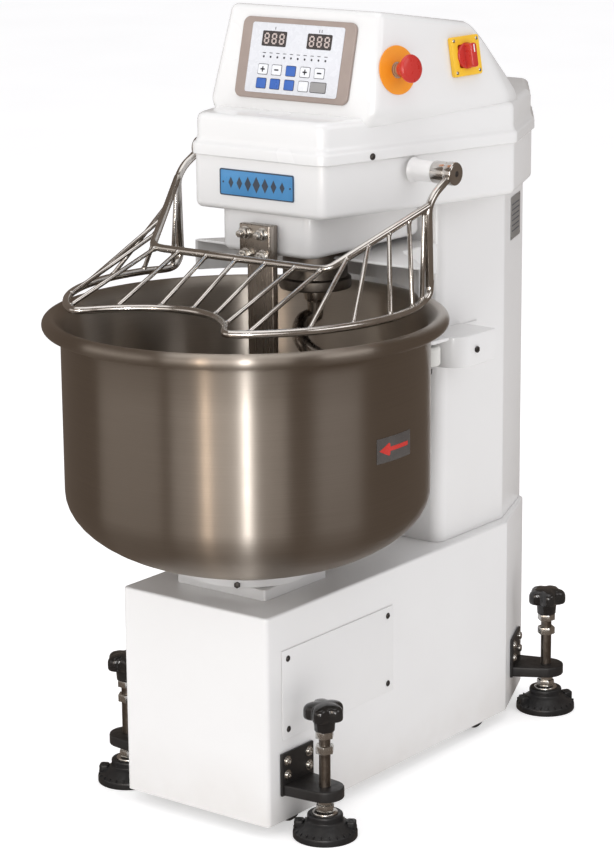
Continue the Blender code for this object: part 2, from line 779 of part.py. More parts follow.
def motor_mesh(radius, bottom, top):
    """Finned motor body as a stepped turned shape."""
    profile = [(0, bottom), (radius * 0.55, bottom), (radius * 0.92, bottom + 0.014)]
    fins = 4
    span = (top - bottom - 0.040) / fins
    for i in range(fins):
        start = bottom + 0.018 + span * i
        profile += [(radius * 0.92, start), (radius, start + span * 0.15)]
        profile += [(radius, start + span * 0.65), (radius * 0.92, start + span * 0.8)]
    profile += [(radius * 0.92, top - 0.014), (radius * 0.80, top), (0, top)]
    return lathe_mesh(profile, 16)


# ---------------------------------------------------------------- spiral and its drive

def spiral_path():
    """Centre line of the spiral tool, from the shaft down to the free end."""
    points = [(0, 0, 0.800), (0, 0, 0.772), (0, 0, 0.748)]
    turns = 1.45
    steps = 34
    start = math.radians(-150)
    for i in range(1, steps + 1):
        part = i / steps
        opening = min(part / 0.22, 1.0)
        opening = opening * opening * (3 - 2 * opening)
        height = 0.748 - 0.016 * opening - 0.282 * max(part - 0.08, 0) / 0.92
        reach = 0.078
        if height < 0.530:
            reach = 0.078 - (0.530 - height) * 0.50
        turn = start + 2 * PI * turns * part
        points.append((reach * opening * math.cos(turn), reach * opening * math.sin(turn), height))
    return points


def build_spiral(material):
    path = spiral_path()
    sizes = [0.0125] * len(path)
    sizes[-1] = 0.0060
    sizes[-2] = 0.0105
    hook = finish("spiral_hook", moved(sweep_mesh(path, sizes, 10), (0, SPIRAL_Y, 0)), PARTS, material)
    stem = lathe_mesh([(0, 0.770), (0.017, 0.770), (0.017, 1.0010), (0, 1.0010)], 20)
    add(hook, moved(stem, (0, SPIRAL_Y, 0)))
    return pivot(hook, (0, SPIRAL_Y, 0.80))


def build_spiral_bearing(material):
    profile = [(0.0176, 0.7940), (0.0560, 0.7940), (0.0570, 0.7960), (0.0570, 0.8100), (0.0510, 0.8120)]
    profile += [(0.0510, 0.9400), (0.0176, 0.9400)]
    housing = finish("spiral_bearing", moved(lathe_mesh(profile, 24), (0, SPIRAL_Y, 0)), PARTS, material)
    return housing


def build_spiral_drive(iron, rubber, blue):
    pulley = pulley_mesh(SPIRAL_PULLEY, 0.0173, 0.962, 0.990, 32)
    made = finish("spiral_pulley", moved(pulley, (0, SPIRAL_Y, 0)), PARTS, iron)
    pivot(made, (0, SPIRAL_Y, 0.962))
    belt = belt_mesh(SPIRAL_Y, SPIRAL_PULLEY - 0.0060, MOTOR_Y, SPIRAL_MOTOR_PULLEY - 0.0060, 0.976, 0.0042, 0.0085)
    finish("spiral_belt", belt, PARTS, rubber)
    motor = motor_mesh(0.078, 0.560, 0.860)
    body = finish("spiral_motor", moved(motor, (0, MOTOR_Y, 0)), PARTS, blue)
    add(body, moved(box_mesh((-0.088, -0.060, 0.856), (0.088, 0.060, 0.866)), (0, MOTOR_Y, 0)))
    small = pulley_mesh(SPIRAL_MOTOR_PULLEY, 0.004, 0.962, 0.990, 18)
    low = finish("spiral_motor_pulley", moved(small, (0, MOTOR_Y, 0)), PARTS, iron)
    add(low, moved(cylinder_mesh(0.011, 0.8664, 0.996, 16), (0, MOTOR_Y, 0)))
    pivot(low, (0, MOTOR_Y, 0.962))


def build_breaker(steel):
    high_y = NECK_FRONT - GAP
    low_y = high_y - 0.013
    bar = finish("breaker_bar", box_mesh((-0.0255, low_y, 0.404), (0.0255, high_y, 0.912)), PARTS, steel)
    bevel(bar, 0.0015, 1)
    front = BOWL_Y + 0.0235
    clamp = finish("breaker_clamp", box_mesh((-0.0295, front, 0.853), (0.0295, low_y - GAP, 0.914)), PARTS, steel)
    for x in (-0.0165, 0.0165):
        for z in (0.8665, 0.9005):
            bolt = lathe_mesh([(0, -0.004), (0.0085, -0.004), (0.0085, 0.007), (0.0050, 0.0075), (0.0050, 0.019), (0, 0.019)], 6)
            add(clamp, moved(bolt, (x, front, z), Matrix.Rotation(PI / 2, 4, "X")))


# ---------------------------------------------------------------- guard

def arc_point(angle, radius=RAIL_RADIUS, z=LOWER_RAIL_Z):
    turn = math.radians(angle)
    return (radius * math.cos(turn), BOWL_Y + radius * math.sin(turn), z)


def lower_rail_path():
    """Round the bowl's rim, with a scallop inwards at the front for adding ingredients."""
    right = [(GUARD_HALF, BOWL_Y + 0.141, LOWER_RAIL_Z + 0.022), (GUARD_HALF + 0.002, BOWL_Y + 0.132, LOWER_RAIL_Z + 0.006)]
    for angle in (25, 15, 3, -9, -21, -33, -45, -54):
        right.append(arc_point(angle))
    right.append((0.143, BOWL_Y - 0.224, LOWER_RAIL_Z))
    right.append((0.131, BOWL_Y - 0.213, LOWER_RAIL_Z))
    for x in (0.110, 0.082, 0.055, 0.028):
        right.append((x, BOWL_Y - 0.130 - 0.080 * (x / 0.131) ** 2, LOWER_RAIL_Z))
    middle = [(0.0, BOWL_Y - 0.130, LOWER_RAIL_Z)]
    left = [(-x, y, z) for x, y, z in reversed(right)]
    return right + middle + left


def upper_rail_path():
    knee = (GUARD_HALF, BOWL_Y + 0.136, 0.950)
    corner = (0.1705, BOWL_Y - 0.015, 0.870)
    near = Vector(corner).lerp(Vector(knee), 0.09)
    right = [knee, tuple(near), (0.163, BOWL_Y - 0.0190, 0.8690), (0.150, BOWL_Y - 0.0195, 0.8685)]
    left = [(-x, y, z) for x, y, z in reversed(right)]
    return right + left


def guard_bars():
    """Infill bars from the upper rail to the lower one."""
    bars = []
    top_y = BOWL_Y - 0.0195
    for x in (0.0, 0.057, 0.113):
        foot_y = BOWL_Y - 0.130 - 0.080 * ((x * 0.93) / 0.131) ** 2
        bars.append(((x, top_y, 0.8685), (x * 0.93, foot_y, LOWER_RAIL_Z)))
    bars.append(((0.160, BOWL_Y - 0.0190, 0.8690), arc_point(-51)))
    knee = Vector((GUARD_HALF, BOWL_Y + 0.136, 0.950))
    corner = Vector((0.1705, BOWL_Y - 0.015, 0.870))
    for along, angle in ((0.19, -32), (0.40, -16.5), (0.60, 0), (0.80, 14.5), (0.955, 26.0)):
        bars.append((tuple(corner.lerp(knee, along)), arc_point(angle)))
    mirrored = []
    for top, foot in bars:
        mirrored.append((top, foot))
        if top[0] > 0.001:
            mirrored.append(((-top[0], top[1], top[2]), (-foot[0], foot[1], foot[2])))
    return mirrored


def build_guard(steel):
    guard = finish("guard", sweep_mesh(lower_rail_path(), RAIL_WIRE, 8), PARTS, steel)
    add(guard, sweep_mesh(upper_rail_path(), RAIL_WIRE, 8))
    for side in (-1, 1):
        x = side * GUARD_HALF
        hub = cylinder_mesh(0.0180, -0.0065, 0.0085, 24)
        add(guard, moved(hub, (x, GUARD_HUB_Y, GUARD_HUB_Z), Matrix.Rotation(side * PI / 2, 4, "Y")))
        arm = [(x, GUARD_HUB_Y, GUARD_HUB_Z), (x, BOWL_Y + 0.150, 0.966), (x, BOWL_Y + 0.138, 0.953)]
        arm += [(x, BOWL_Y + 0.134, 0.935), (x, BOWL_Y + 0.141, LOWER_RAIL_Z + 0.020)]
        add(guard, sweep_mesh(arm, RAIL_WIRE * 1.08, 8))
    for top, foot in guard_bars():
        add(guard, sweep_mesh([top, foot], BAR_WIRE, 6))
    return pivot(guard, (0, GUARD_HUB_Y, GUARD_HUB_Z))


def build_hubs(steel):
    slope = (HEAD_WIDE_HALF - HEAD_FRONT_HALF) / (HEAD_WIDE - HEAD_FRONT)
    wall = HEAD_FRONT_HALF + slope * (GUARD_HUB_Y - HEAD_FRONT)
    for side, name in ((-1, "left"), (1, "right")):
        start = wall + slope * 0.0125 + 0.0012
        stop = GUARD_HALF - 0.0065 - GAP
        hub = cylinder_mesh(0.0125, start, stop, 24)
        turn = Matrix.Rotation(side * PI / 2, 4, "Y")
        finish("guard_boss_" + name, moved(hub, (0, GUARD_HUB_Y, GUARD_HUB_Z), turn), PARTS, steel)


def build_shield(paint):
    """Fixed shield over the rear of the bowl: a flat top with a straight front edge and a curved apron below it."""
    reach = 0.268
    low = 0.801
    top = 0.851
    right = [(0.222, BOWL_Y + 0.150)]
    for angle in (36, 42, 48, 54, 60):
        turn = math.radians(angle)
        right.append((reach * math.cos(turn), BOWL_Y + reach * math.sin(turn)))
    right += [(0.118, BOWL_Y + 0.250), (0.118, COLUMN_FRONT - GAP)]
    outline = mirrored_outline(right)
    rings = [at_height(offset_outline(outline, -0.002), low), at_height(outline, low + 0.002)]
    rings += [at_height(outline, top - 0.002), at_height(offset_outline(outline, -0.002), top)]
    shield = finish("bowl_shield", loft_mesh(rings), PARTS, paint)
    pocket = cylinder_mesh(reach - 0.0035, low - 0.02, top - 0.0035, 56)
    cut(shield, moved(pocket, (0, BOWL_Y, 0)))
    cut(shield, moved(cylinder_mesh(0.0620, low - 0.02, top + 0.02, 28), (0, SPIRAL_Y, 0)))
    return shield


# ---------------------------------------------------------------- guide rollers, feet, wheels

def build_rollers(paint, white):
    direction = math.radians(59)
    reach = WALL_RADIUS + 0.0206
    for side, name in ((-1, "left"), (1, "right")):
        x = side * reach * math.cos(direction)
        y = BOWL_Y + reach * math.sin(direction)
        inner = side * (COLUMN_HALF + GAP)
        outer = side * 0.192
        low = (min(inner, outer), BOWL_Y + 0.296, 0.661)
        high = (max(inner, outer), BOWL_Y + 0.400, 0.712)
        bracket = finish("roller_bracket_" + name, box_mesh(low, high), PARTS, paint)
        arm = box_mesh((x - 0.014, y, 0.706), (x + 0.014, BOWL_Y + 0.310, 0.712))
        add(bracket, arm)
        add(bracket, moved(cylinder_mesh(0.014, 0.706, 0.712, 20), (x, y, 0)))
        add(bracket, moved(cylinder_mesh(0.005, 0.664, 0.708, 14), (x, y, 0)))
        flange_x = side * (COLUMN_HALF + GAP + 0.0025)
        flange = (min(inner, flange_x), BOWL_Y + 0.395, 0.664)
        flange_top = (max(inner, flange_x), BOWL_Y + 0.445, 0.709)
        add(bracket, box_mesh(flange, flange_top))
        bolt = cylinder_mesh(0.0065, 0.0, 0.0075, 6)
        turn = Matrix.Rotation(side * PI / 2, 4, "Y")
        add(bracket, moved(bolt, (side * (COLUMN_HALF + 0.0015), BOWL_Y + 0.428, 0.688), turn))
        profile = [(0.0054, 0.672), (0.0180, 0.672), (0.0200, 0.675), (0.0200, 0.699), (0.0180, 0.702), (0.0054, 0.702)]
        roller = finish("guide_roller_" + name, moved(lathe_mesh(profile, 24), (x, y, 0)), PARTS, white)
        pivot(roller, (x, y, 0.687))


def foot_frames():
    """Frames on the base wall: local X runs out from it, local Z is up."""
    frames = {}
    for side, word in ((1, "right"), (-1, "left")):
        turn = Matrix.Rotation(0 if side > 0 else PI, 4, "Z")
        frames["front_" + word] = Matrix.Translation((side * BASE_HALF, FOOT_Y, 0)) @ turn
        middle = Vector((BASE_HALF + BASE_REAR_HALF, BASE_SIDE_END + BASE_REAR)) / 2
        lean = math.atan2(BASE_HALF - BASE_REAR_HALF, BASE_REAR - BASE_SIDE_END)
        turn = Matrix.Rotation(lean if side > 0 else PI - lean, 4, "Z")
        frames["rear_" + word] = Matrix.Translation((side * middle.x, middle.y, 0)) @ turn
    return frames


def build_feet(black, steel):
    for name, frame in foot_frames().items():
        build_foot_bracket(name, frame, steel)
        build_foot(name, frame, black)


def build_foot_bracket(name, frame, material):
    wall = finish("foot_bracket_" + name, moved(box_mesh((GAP, -0.040, LEDGE_BOTTOM - 0.0005), (0.0050, 0.040, 0.131)), turn=frame), PARTS, material)
    ledge = [(0.001, -0.036), (FOOT_OFFSET, -0.030), (FOOT_OFFSET + 0.021, -0.021), (FOOT_OFFSET + 0.030, 0)]
    ledge += [(FOOT_OFFSET + 0.021, 0.021), (FOOT_OFFSET, 0.030), (0.001, 0.036)]
    add(wall, moved(prism_mesh(ledge, LEDGE_BOTTOM, LEDGE_TOP), turn=frame))
    for y in (-0.027, 0.027):
        for z in (0.0955, 0.1180):
            bolt = lathe_mesh([(0, -0.002), (0.0065, -0.002), (0.0065, 0.002), (0.0040, 0.0045), (0, 0.0050)], 8)
            place = frame @ Matrix.Translation((0.0050, y, z)) @ Matrix.Rotation(PI / 2, 4, "Y")
            add(wall, moved(bolt, turn=place))
    cut(wall, moved(cylinder_mesh(0.0095, LEDGE_BOTTOM - 0.01, LEDGE_TOP + 0.01, 16), (0, 0, 0), frame @ Matrix.Translation((FOOT_OFFSET, 0, 0))))


def build_foot(name, frame, black):
    """Levelling foot: bell pad, spindle, nuts and star knob, turned and joined."""
    profile = [(0, 0), (0.0500, 0), (0.0500, 0.0100), (0.0460, 0.0140), (0.0320, 0.0245), (0.0275, 0.0260)]
    profile += [(0.0275, 0.0370), (0.0240, 0.0400), (0.0090, 0.0405), (0.0090, 0.2150), (0, 0.2150)]
    place = frame @ Matrix.Translation((FOOT_OFFSET, 0, 0))
    foot = finish("foot_" + name, moved(lathe_mesh(profile, 20), turn=place), PARTS, black)
    for low, high in ((0.0400, 0.0510), (0.1350, 0.1470), (0.1590, 0.1700)):
        add(foot, moved(cylinder_mesh(0.0150, low, high, 6), turn=place))
    hub = [(0, 0.1702), (0.0155, 0.1702), (0.0170, 0.1910), (0, 0.1910)]
    add(foot, moved(lathe_mesh(hub, 16), turn=place))
    lobes = []
    for i in range(20):
        turn = 2 * PI * i / 20
        radius = 0.0290 + 0.0045 * math.cos(5 * turn)
        lobes.append((radius * math.cos(turn), radius * math.sin(turn)))
    rings = []
    for scale, height in ((0.86, 0.1875), (1.0, 0.1925), (1.0, 0.2065), (0.86, 0.2130), (0.50, 0.2160)):
        rings.append([(x * scale, y * scale, height) for x, y in lobes])
    add(foot, moved(loft_mesh(rings), turn=place))
    pivot(foot, place.translation)


def build_wheels(black, steel):
    """Transport wheels inside the base, just clear of the floor on their axles."""
    height = WHEEL_RADIUS + 0.0035
    for end, y in (("front", BOWL_Y - 0.060), ("rear", BOWL_Y + 0.452)):
        inner = BASE_HALF - SHEET - GAP
        axle = sweep_mesh([(-inner + 0.004, y, height), (inner - 0.004, y, height)], 0.007, 12)
        carrier = finish("wheel_axle_" + end, axle, PARTS, steel)
        for side in (-1, 1):
            low = min(side * inner, side * (inner - 0.006))
            hanger = box_mesh((low, y - 0.020, 0.0240), (low + 0.006, y + 0.020, 0.070))
            add(carrier, hanger)
            word = "right" if side > 0 else "left"
            profile = [(0.0074, -0.0110), (WHEEL_RADIUS - 0.003, -0.0110), (WHEEL_RADIUS, -0.0080)]
            profile += [(WHEEL_RADIUS, 0.0080), (WHEEL_RADIUS - 0.003, 0.0110), (0.0074, 0.0110)]
            centre = (side * (inner - 0.022), y, height)
            wheel = moved(lathe_mesh(profile, 18), centre, Matrix.Rotation(PI / 2, 4, "Y"))
            made = finish("wheel_" + end + "_" + word, wheel, PARTS, black)
            pivot(made, centre)


def build_electrics(grey, black):
    cabinet = box_mesh((-0.085, COLUMN_FRONT + 0.010, 0.620), (0.085, COLUMN_FRONT + 0.070, 0.840))
    finish("electrical_box", cabinet, PARTS, grey)
    x = 0.045
    z = 0.085
    turn = Matrix.Rotation(-PI / 2, 4, "X")
    gland = [(0, GAP), (0.0130, GAP), (0.0130, 0.0070), (0.0105, 0.0075), (0.0105, 0.0180), (0.0080, 0.0220), (0, 0.0220)]
    finish("cable_gland", moved(lathe_mesh(gland, 18), (x, BASE_REAR, z), turn), PARTS, black)


def build_mixer():
    paint = white_paint()
    steel = brushed_steel()
    polished = polished_steel()
    dark = dark_steel()
    iron = cast_iron()
    rubber = belt_rubber()
    black = black_plastic()
    blue_motor = motor_blue()
    build_base(paint)
    build_plinth(paint)
    build_side_panel(paint)
    build_column(paint)
    build_rear_cover(paint)
    build_head_body(paint)
    build_neck(paint)
    build_head_cover(paint)
    build_bezel(beige_plastic())
    build_keypad(keypad_film())
    build_nameplate(blue_plate())
    build_rating_plate(grey_plate())
    build_estop(yellow_plastic(), red_plastic(), black)
    build_switch(yellow_plastic(), red_plastic(), black)
    build_control_board(board_green())
    build_bowl(steel)
    build_turntable(paint)
    build_bowl_shaft(dark)
    build_bowl_bearing(iron)
    build_bowl_drive(iron, rubber, blue_motor)
    build_spiral(steel)
    build_spiral_bearing(dark)
    build_spiral_drive(iron, rubber, blue_motor)
    build_breaker(steel)
    build_guard(polished)
    build_hubs(polished)
    build_shield(paint)
    build_rollers(paint, nylon())
    build_feet(black, dark)
    build_wheels(black, dark)
    build_electrics(grey_plate(), black)


clear_scene()
PARTS = make_collection("spiral_mixer", False)
CUTTERS = make_collection("cutters", True)
build_mixer()
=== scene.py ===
"""Looks of the spiral dough mixer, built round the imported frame.
Metres, +Z up, front towards -Y. Every piece is modelled in place and rides on a body of the frame."""

import json
import math

import bmesh
import bpy
from mathutils import Matrix, Vector

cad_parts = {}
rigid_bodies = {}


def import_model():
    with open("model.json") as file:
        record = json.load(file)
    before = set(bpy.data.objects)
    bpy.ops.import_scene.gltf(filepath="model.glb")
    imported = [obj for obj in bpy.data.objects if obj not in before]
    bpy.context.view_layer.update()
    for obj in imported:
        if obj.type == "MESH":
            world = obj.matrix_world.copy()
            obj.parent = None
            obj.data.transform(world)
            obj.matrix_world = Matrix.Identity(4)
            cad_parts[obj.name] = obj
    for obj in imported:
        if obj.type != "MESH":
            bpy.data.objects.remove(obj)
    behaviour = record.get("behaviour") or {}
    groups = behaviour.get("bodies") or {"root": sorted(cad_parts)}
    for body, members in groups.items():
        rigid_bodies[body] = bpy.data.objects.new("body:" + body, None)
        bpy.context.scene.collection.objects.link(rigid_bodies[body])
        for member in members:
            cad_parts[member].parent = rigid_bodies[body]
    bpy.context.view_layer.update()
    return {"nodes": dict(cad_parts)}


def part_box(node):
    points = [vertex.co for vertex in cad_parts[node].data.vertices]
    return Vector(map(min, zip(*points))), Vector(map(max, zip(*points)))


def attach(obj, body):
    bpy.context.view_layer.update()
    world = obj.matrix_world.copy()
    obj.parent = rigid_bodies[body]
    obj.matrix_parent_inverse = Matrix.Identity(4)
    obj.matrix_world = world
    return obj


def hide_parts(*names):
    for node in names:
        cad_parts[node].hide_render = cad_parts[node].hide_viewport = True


for leftover in list(bpy.data.objects):
    bpy.data.objects.remove(leftover)
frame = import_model()
PI = math.pi

# Places read from the frame
BOWL_LOW, BOWL_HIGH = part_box("bowl")
HEAD_LOW, HEAD_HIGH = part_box("head_body")
BASE_LOW, BASE_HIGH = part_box("base_frame")
COLUMN_LOW, COLUMN_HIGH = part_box("column_shell")
COVER_LOW, COVER_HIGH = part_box("head_cover")
NECK_LOW, NECK_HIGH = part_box("head_neck")
GUARD_LOW, GUARD_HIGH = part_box("guard")
SPIRAL_LOW, SPIRAL_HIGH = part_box("spiral_pulley")
TABLE_LOW, TABLE_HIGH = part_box("turntable")
BOWL_Y = (BOWL_LOW.y + BOWL_HIGH.y) / 2
SPIRAL_Y = (SPIRAL_LOW.y + SPIRAL_HIGH.y) / 2

# Bowl
RIM_TUBE = 0.0117
RIM_RADIUS = BOWL_HIGH.x - RIM_TUBE
RIM_Z = BOWL_HIGH.z - RIM_TUBE
WALL_RADIUS = RIM_RADIUS - 0.0165
BOWL_SHEET = 0.004
DISH_REACH = 0.260
DISH_DEPTH = 0.125

# Plan of the base, column and head
BASE_SIDE_END = BOWL_Y + 0.514
BASE_REAR_HALF = 0.0745
COLUMN_SIDE_END = BOWL_Y + 0.527
COLUMN_REAR_HALF = 0.066
HEAD_WIDE = BOWL_Y + 0.402
HEAD_CHAMFER = BOWL_Y + 0.554
HEAD_FRONT_HALF = 0.124
HEAD_CHAMFER_HALF = 0.156
HEAD_REAR_HALF = 0.070
SHEET = 0.003

# Head cover and console
LIP = 0.0047
CREASE_Z = 1.030
SHOULDER_Z = 1.0736
CONSOLE_FRONT = BOWL_Y + 0.112
CONSOLE_HALF = 0.161
CONSOLE_Z = 1.069
SIDE_SPREAD = 0.190
SIDE_LEAN = -0.157
FRONT_LEAN = 0.245
CONSOLE_TOP_REAR = 1.203
CONSOLE_CREST = BOWL_Y + 0.342
CONSOLE_TAIL = BOWL_Y + 0.463
CONSOLE_TAIL_HALF = 0.193
PANEL_Z = 1.1525
ESTOP_Y = BOWL_Y + 0.172
ESTOP_Z = 1.144
SWITCH_Y = BOWL_Y + 0.313
SWITCH_Z = 1.1535

# Guard
HUB_Y = BOWL_Y + 0.198
HUB_Z = 0.991
GUARD_HALF = 0.2445
RAIL_WIRE = 0.006
BAR_WIRE = 0.0036
RAIL_Z = GUARD_LOW.z + RAIL_WIRE
RAIL_RADIUS = 0.272
TOP_RAIL_Z = 0.8685
TOP_RAIL_Y = BOWL_Y - 0.0195
KNEE = Vector((GUARD_HALF, BOWL_Y + 0.136, 0.950))
CORNER = Vector((0.1705, BOWL_Y - 0.015, 0.870))

# Feet
FOOT_Y = BOWL_Y - 0.070
FOOT_OFFSET = 0.056
LEDGE_BOTTOM = 0.0635
LEDGE_TOP = 0.0810
CORNERS = ("front_right", "front_left", "rear_right", "rear_left")


# ---------------------------------------------------------------- node helpers

class Look:
    """A Principled material with short calls for its procedural detail."""

    def __init__(self, name, roughness=0.4, metallic=0.0, **sockets):
        self.material = bpy.data.materials.new(name)
        self.material.use_nodes = True
        self.tree = self.material.node_tree
        self.shader = self.tree.nodes["Principled BSDF"]
        self.shader.inputs["Roughness"].default_value = roughness
        self.shader.inputs["Metallic"].default_value = metallic
        for socket, value in sockets.items():
            self.shader.inputs[socket.replace("_", " ")].default_value = value

    def node(self, kind, **settings):
        made = self.tree.nodes.new(kind)
        for key, value in settings.items():
            setattr(made, key, value)
        return made

    def link(self, source, target):
        self.tree.links.new(source, target)

    def coords(self):
        return self.node("ShaderNodeTexCoord").outputs["Object"]

    def scaled(self, vector, scale, shift=(0, 0, 0)):
        mapping = self.node("ShaderNodeMapping")
        mapping.inputs["Scale"].default_value = scale
        mapping.inputs["Location"].default_value = shift
        self.link(vector, mapping.inputs["Vector"])
        return mapping.outputs["Vector"]

    def round_coords(self, centre, around, along):
        """Coordinates that wrap round a vertical axis: turn, height and radius."""
        moved = self.node("ShaderNodeVectorMath", operation="SUBTRACT")
        moved.inputs[1].default_value = centre
        self.link(self.coords(), moved.inputs[0])
        parts = self.node("ShaderNodeSeparateXYZ")
        self.link(moved.outputs[0], parts.inputs[0])
        turn = self.math("ARCTAN2", parts.outputs["X"], parts.outputs["Y"])
        flat = self.math("ADD", self.math("POWER", parts.outputs["X"], 2.0),
            self.math("POWER", parts.outputs["Y"], 2.0))
        joined = self.node("ShaderNodeCombineXYZ")
        self.link(self.math("MULTIPLY", turn, around), joined.inputs["X"])
        self.link(self.math("MULTIPLY", parts.outputs["Z"], along), joined.inputs["Y"])
        self.link(self.math("MULTIPLY", self.math("SQRT", flat, 0.0), along), joined.inputs["Z"])
        return joined.outputs[0]

    def math(self, operation, first, second):
        made = self.node("ShaderNodeMath", operation=operation)
        for value, socket in ((first, made.inputs[0]), (second, made.inputs[1])):
            if isinstance(value, (int, float)):
                socket.default_value = value
            else:
                self.link(value, socket)
        return made.outputs[0]

    def noise(self, scale, detail=3.0, vector=None, roughness=0.55):
        made = self.node("ShaderNodeTexNoise")
        made.inputs["Scale"].default_value = scale
        made.inputs["Detail"].default_value = detail
        made.inputs["Roughness"].default_value = roughness
        self.link(vector or self.coords(), made.inputs["Vector"])
        return made.outputs["Fac"]

    def spread(self, value, low, high, start=0.3, end=0.7):
        """The value, from start to end, as a number from low to high."""
        made = self.node("ShaderNodeMapRange")
        made.inputs["From Min"].default_value = start
        made.inputs["From Max"].default_value = end
        made.inputs["To Min"].default_value = low
        made.inputs["To Max"].default_value = high
        self.link(value, made.inputs["Value"])
        return made.outputs[0]

    def mixed(self, share, first, second):
        made = self.node("ShaderNodeMix", data_type="RGBA")
        for value, socket in ((first, made.inputs[6]), (second, made.inputs[7])):
            if isinstance(value, tuple):
                socket.default_value = (*value, 1.0)
            else:
                self.link(value, socket)
        if isinstance(share, float):
            made.inputs[0].default_value = share
        else:
            self.link(share, made.inputs[0])
        return made.outputs[2]

    def colour(self, source):
        self.link(source, self.shader.inputs["Base Color"])

    def rough(self, source):
        self.link(source, self.shader.inputs["Roughness"])

    def bump(self, height, distance, strength=1.0):
        made = self.node("ShaderNodeBump")
        made.inputs["Strength"].default_value = strength
        made.inputs["Distance"].default_value = distance
        self.link(height, made.inputs["Height"])
        if self.shader.inputs["Normal"].is_linked:
            self.link(self.shader.inputs["Normal"].links[0].from_socket, made.inputs["Normal"])
        self.link(made.outputs["Normal"], self.shader.inputs["Normal"])


def height_of(look):
    parts = look.node("ShaderNodeSeparateXYZ")
    look.link(look.coords(), parts.inputs[0])
    return parts.outputs["Z"]


# ---------------------------------------------------------------- materials

def paint_look():
    """Gloss powder coat: fine orange peel, faint handling marks and a little floor dust."""
    look = Look("gloss_paint", 0.3, Coat_Weight=0.25, Coat_Roughness=0.12)
    cloud = look.noise(7.0, 4.0)
    tone = look.mixed(look.spread(cloud, 0.0, 1.0), (0.800, 0.788, 0.775), (0.815, 0.805, 0.793))
    dust = look.math("MULTIPLY", look.spread(height_of(look), 1.0, 0.0, 0.02, 0.13),
        look.spread(look.noise(9.0), 0.0, 0.35))
    look.colour(look.mixed(dust, tone, (0.60, 0.55, 0.50)))
    look.rough(look.spread(look.noise(6.0, 2.0), 0.28, 0.34))
    look.bump(look.noise(260.0, 1.0), 0.00003, 0.12)
    return look.material


def cover_look():
    """Moulded cover: smoother than the paint, with soft moulding waves."""
    look = Look("moulded_cover", 0.26, Coat_Weight=0.35, Coat_Roughness=0.08)
    look.colour(look.mixed(look.spread(look.noise(5.0, 3.0), 0.0, 1.0), (0.812, 0.802, 0.790),
        (0.828, 0.820, 0.808)))
    look.rough(look.spread(look.noise(5.0, 2.0), 0.22, 0.28))
    look.bump(look.noise(6.0, 1.0), 0.0008, 0.08)
    look.bump(look.noise(300.0, 1.0), 0.00002, 0.10)
    return look.material


def bowl_look():
    """Stainless steel turned on a lathe: fine grain round the axis and soft bands."""
    look = Look("bowl_steel", 0.3, 1.0, Anisotropic=1.0, Anisotropic_Rotation=0.25)
    tangent = look.node("ShaderNodeTangent", direction_type="RADIAL", axis="Z")
    look.link(tangent.outputs[0], look.shader.inputs["Tangent"])
    centre = (0, BOWL_Y, RIM_Z)
    grain = look.noise(1.0, 2.0, look.round_coords(centre, 1.6, 1500.0), 0.5)
    bands = look.noise(1.0, 3.0, look.round_coords(centre, 0.6, 34.0))
    smears = look.noise(9.0, 5.0)
    base = look.mixed(look.spread(grain, 0.0, 1.0), (0.420, 0.378, 0.335), (0.470, 0.428, 0.382))
    aged = look.mixed(look.spread(smears, 0.0, 0.16), base, (0.360, 0.315, 0.270))
    look.colour(aged)
    look.rough(look.math("ADD", look.spread(grain, 0.335, 0.365), look.spread(bands, -0.015, 0.020)))
    look.bump(grain, 0.000004, 0.25)
    return look.material


def steel_look(name, dark, light, low, high, grain_scale, metallic=1.0):
    """Ground or drawn steel with streaks along Z and small stains."""
    look = Look(name, 0.3, metallic)
    streaks = look.noise(1.0, 4.0, look.scaled(look.coords(), grain_scale), 0.65)
    stains = look.noise(24.0, 5.0)
    tone = look.mixed(look.spread(streaks, 0.0, 1.0), dark, light)
    look.colour(look.mixed(look.spread(stains, 0.0, 0.30), tone, tuple(c * 0.72 for c in dark)))
    look.rough(look.spread(streaks, low, high))
    look.bump(streaks, 0.00004, 0.5)
    return look.material


def plastic_look(name, first, second, low, high, grain=650.0, depth=0.00006, **sockets):
    """Moulded plastic or rubber: cloudy colour, uneven gloss and a fine leather grain."""
    look = Look(name, low, 0.0, **sockets)
    look.colour(look.mixed(look.spread(look.noise(18.0, 4.0), 0.0, 1.0), first, second))
    look.rough(look.spread(look.noise(90.0, 4.0), low, high))
    look.bump(look.noise(grain, 3.0), depth, 0.6)
    return look.material


def foot_look():
    """Black phenolic and rubber, a little dusty on top."""
    look = Look("foot_black", 0.42)
    geometry = look.node("ShaderNodeNewGeometry")
    parts = look.node("ShaderNodeSeparateXYZ")
    look.link(geometry.outputs["Normal"], parts.inputs[0])
    dust = look.math("MULTIPLY", look.spread(parts.outputs["Z"], 0.0, 0.35, 0.5, 1.0),
        look.spread(look.noise(60.0, 5.0), 0.2, 1.0))
    look.colour(look.mixed(dust, (0.012, 0.012, 0.013), (0.060, 0.055, 0.050)))
    look.rough(look.spread(look.noise(110.0, 4.0), 0.30, 0.52))
    look.bump(look.noise(700.0, 3.0), 0.00008, 0.5)
    return look.material


def cast_look(name, dark, light):
    look = Look(name, 0.6, 0.6)
    look.colour(look.mixed(look.spread(look.noise(70.0, 6.0), 0.0, 1.0), dark, light))
    look.rough(look.spread(look.noise(40.0, 4.0), 0.48, 0.72))
    look.bump(look.noise(380.0, 4.0), 0.00030, 0.7)
    return look.material


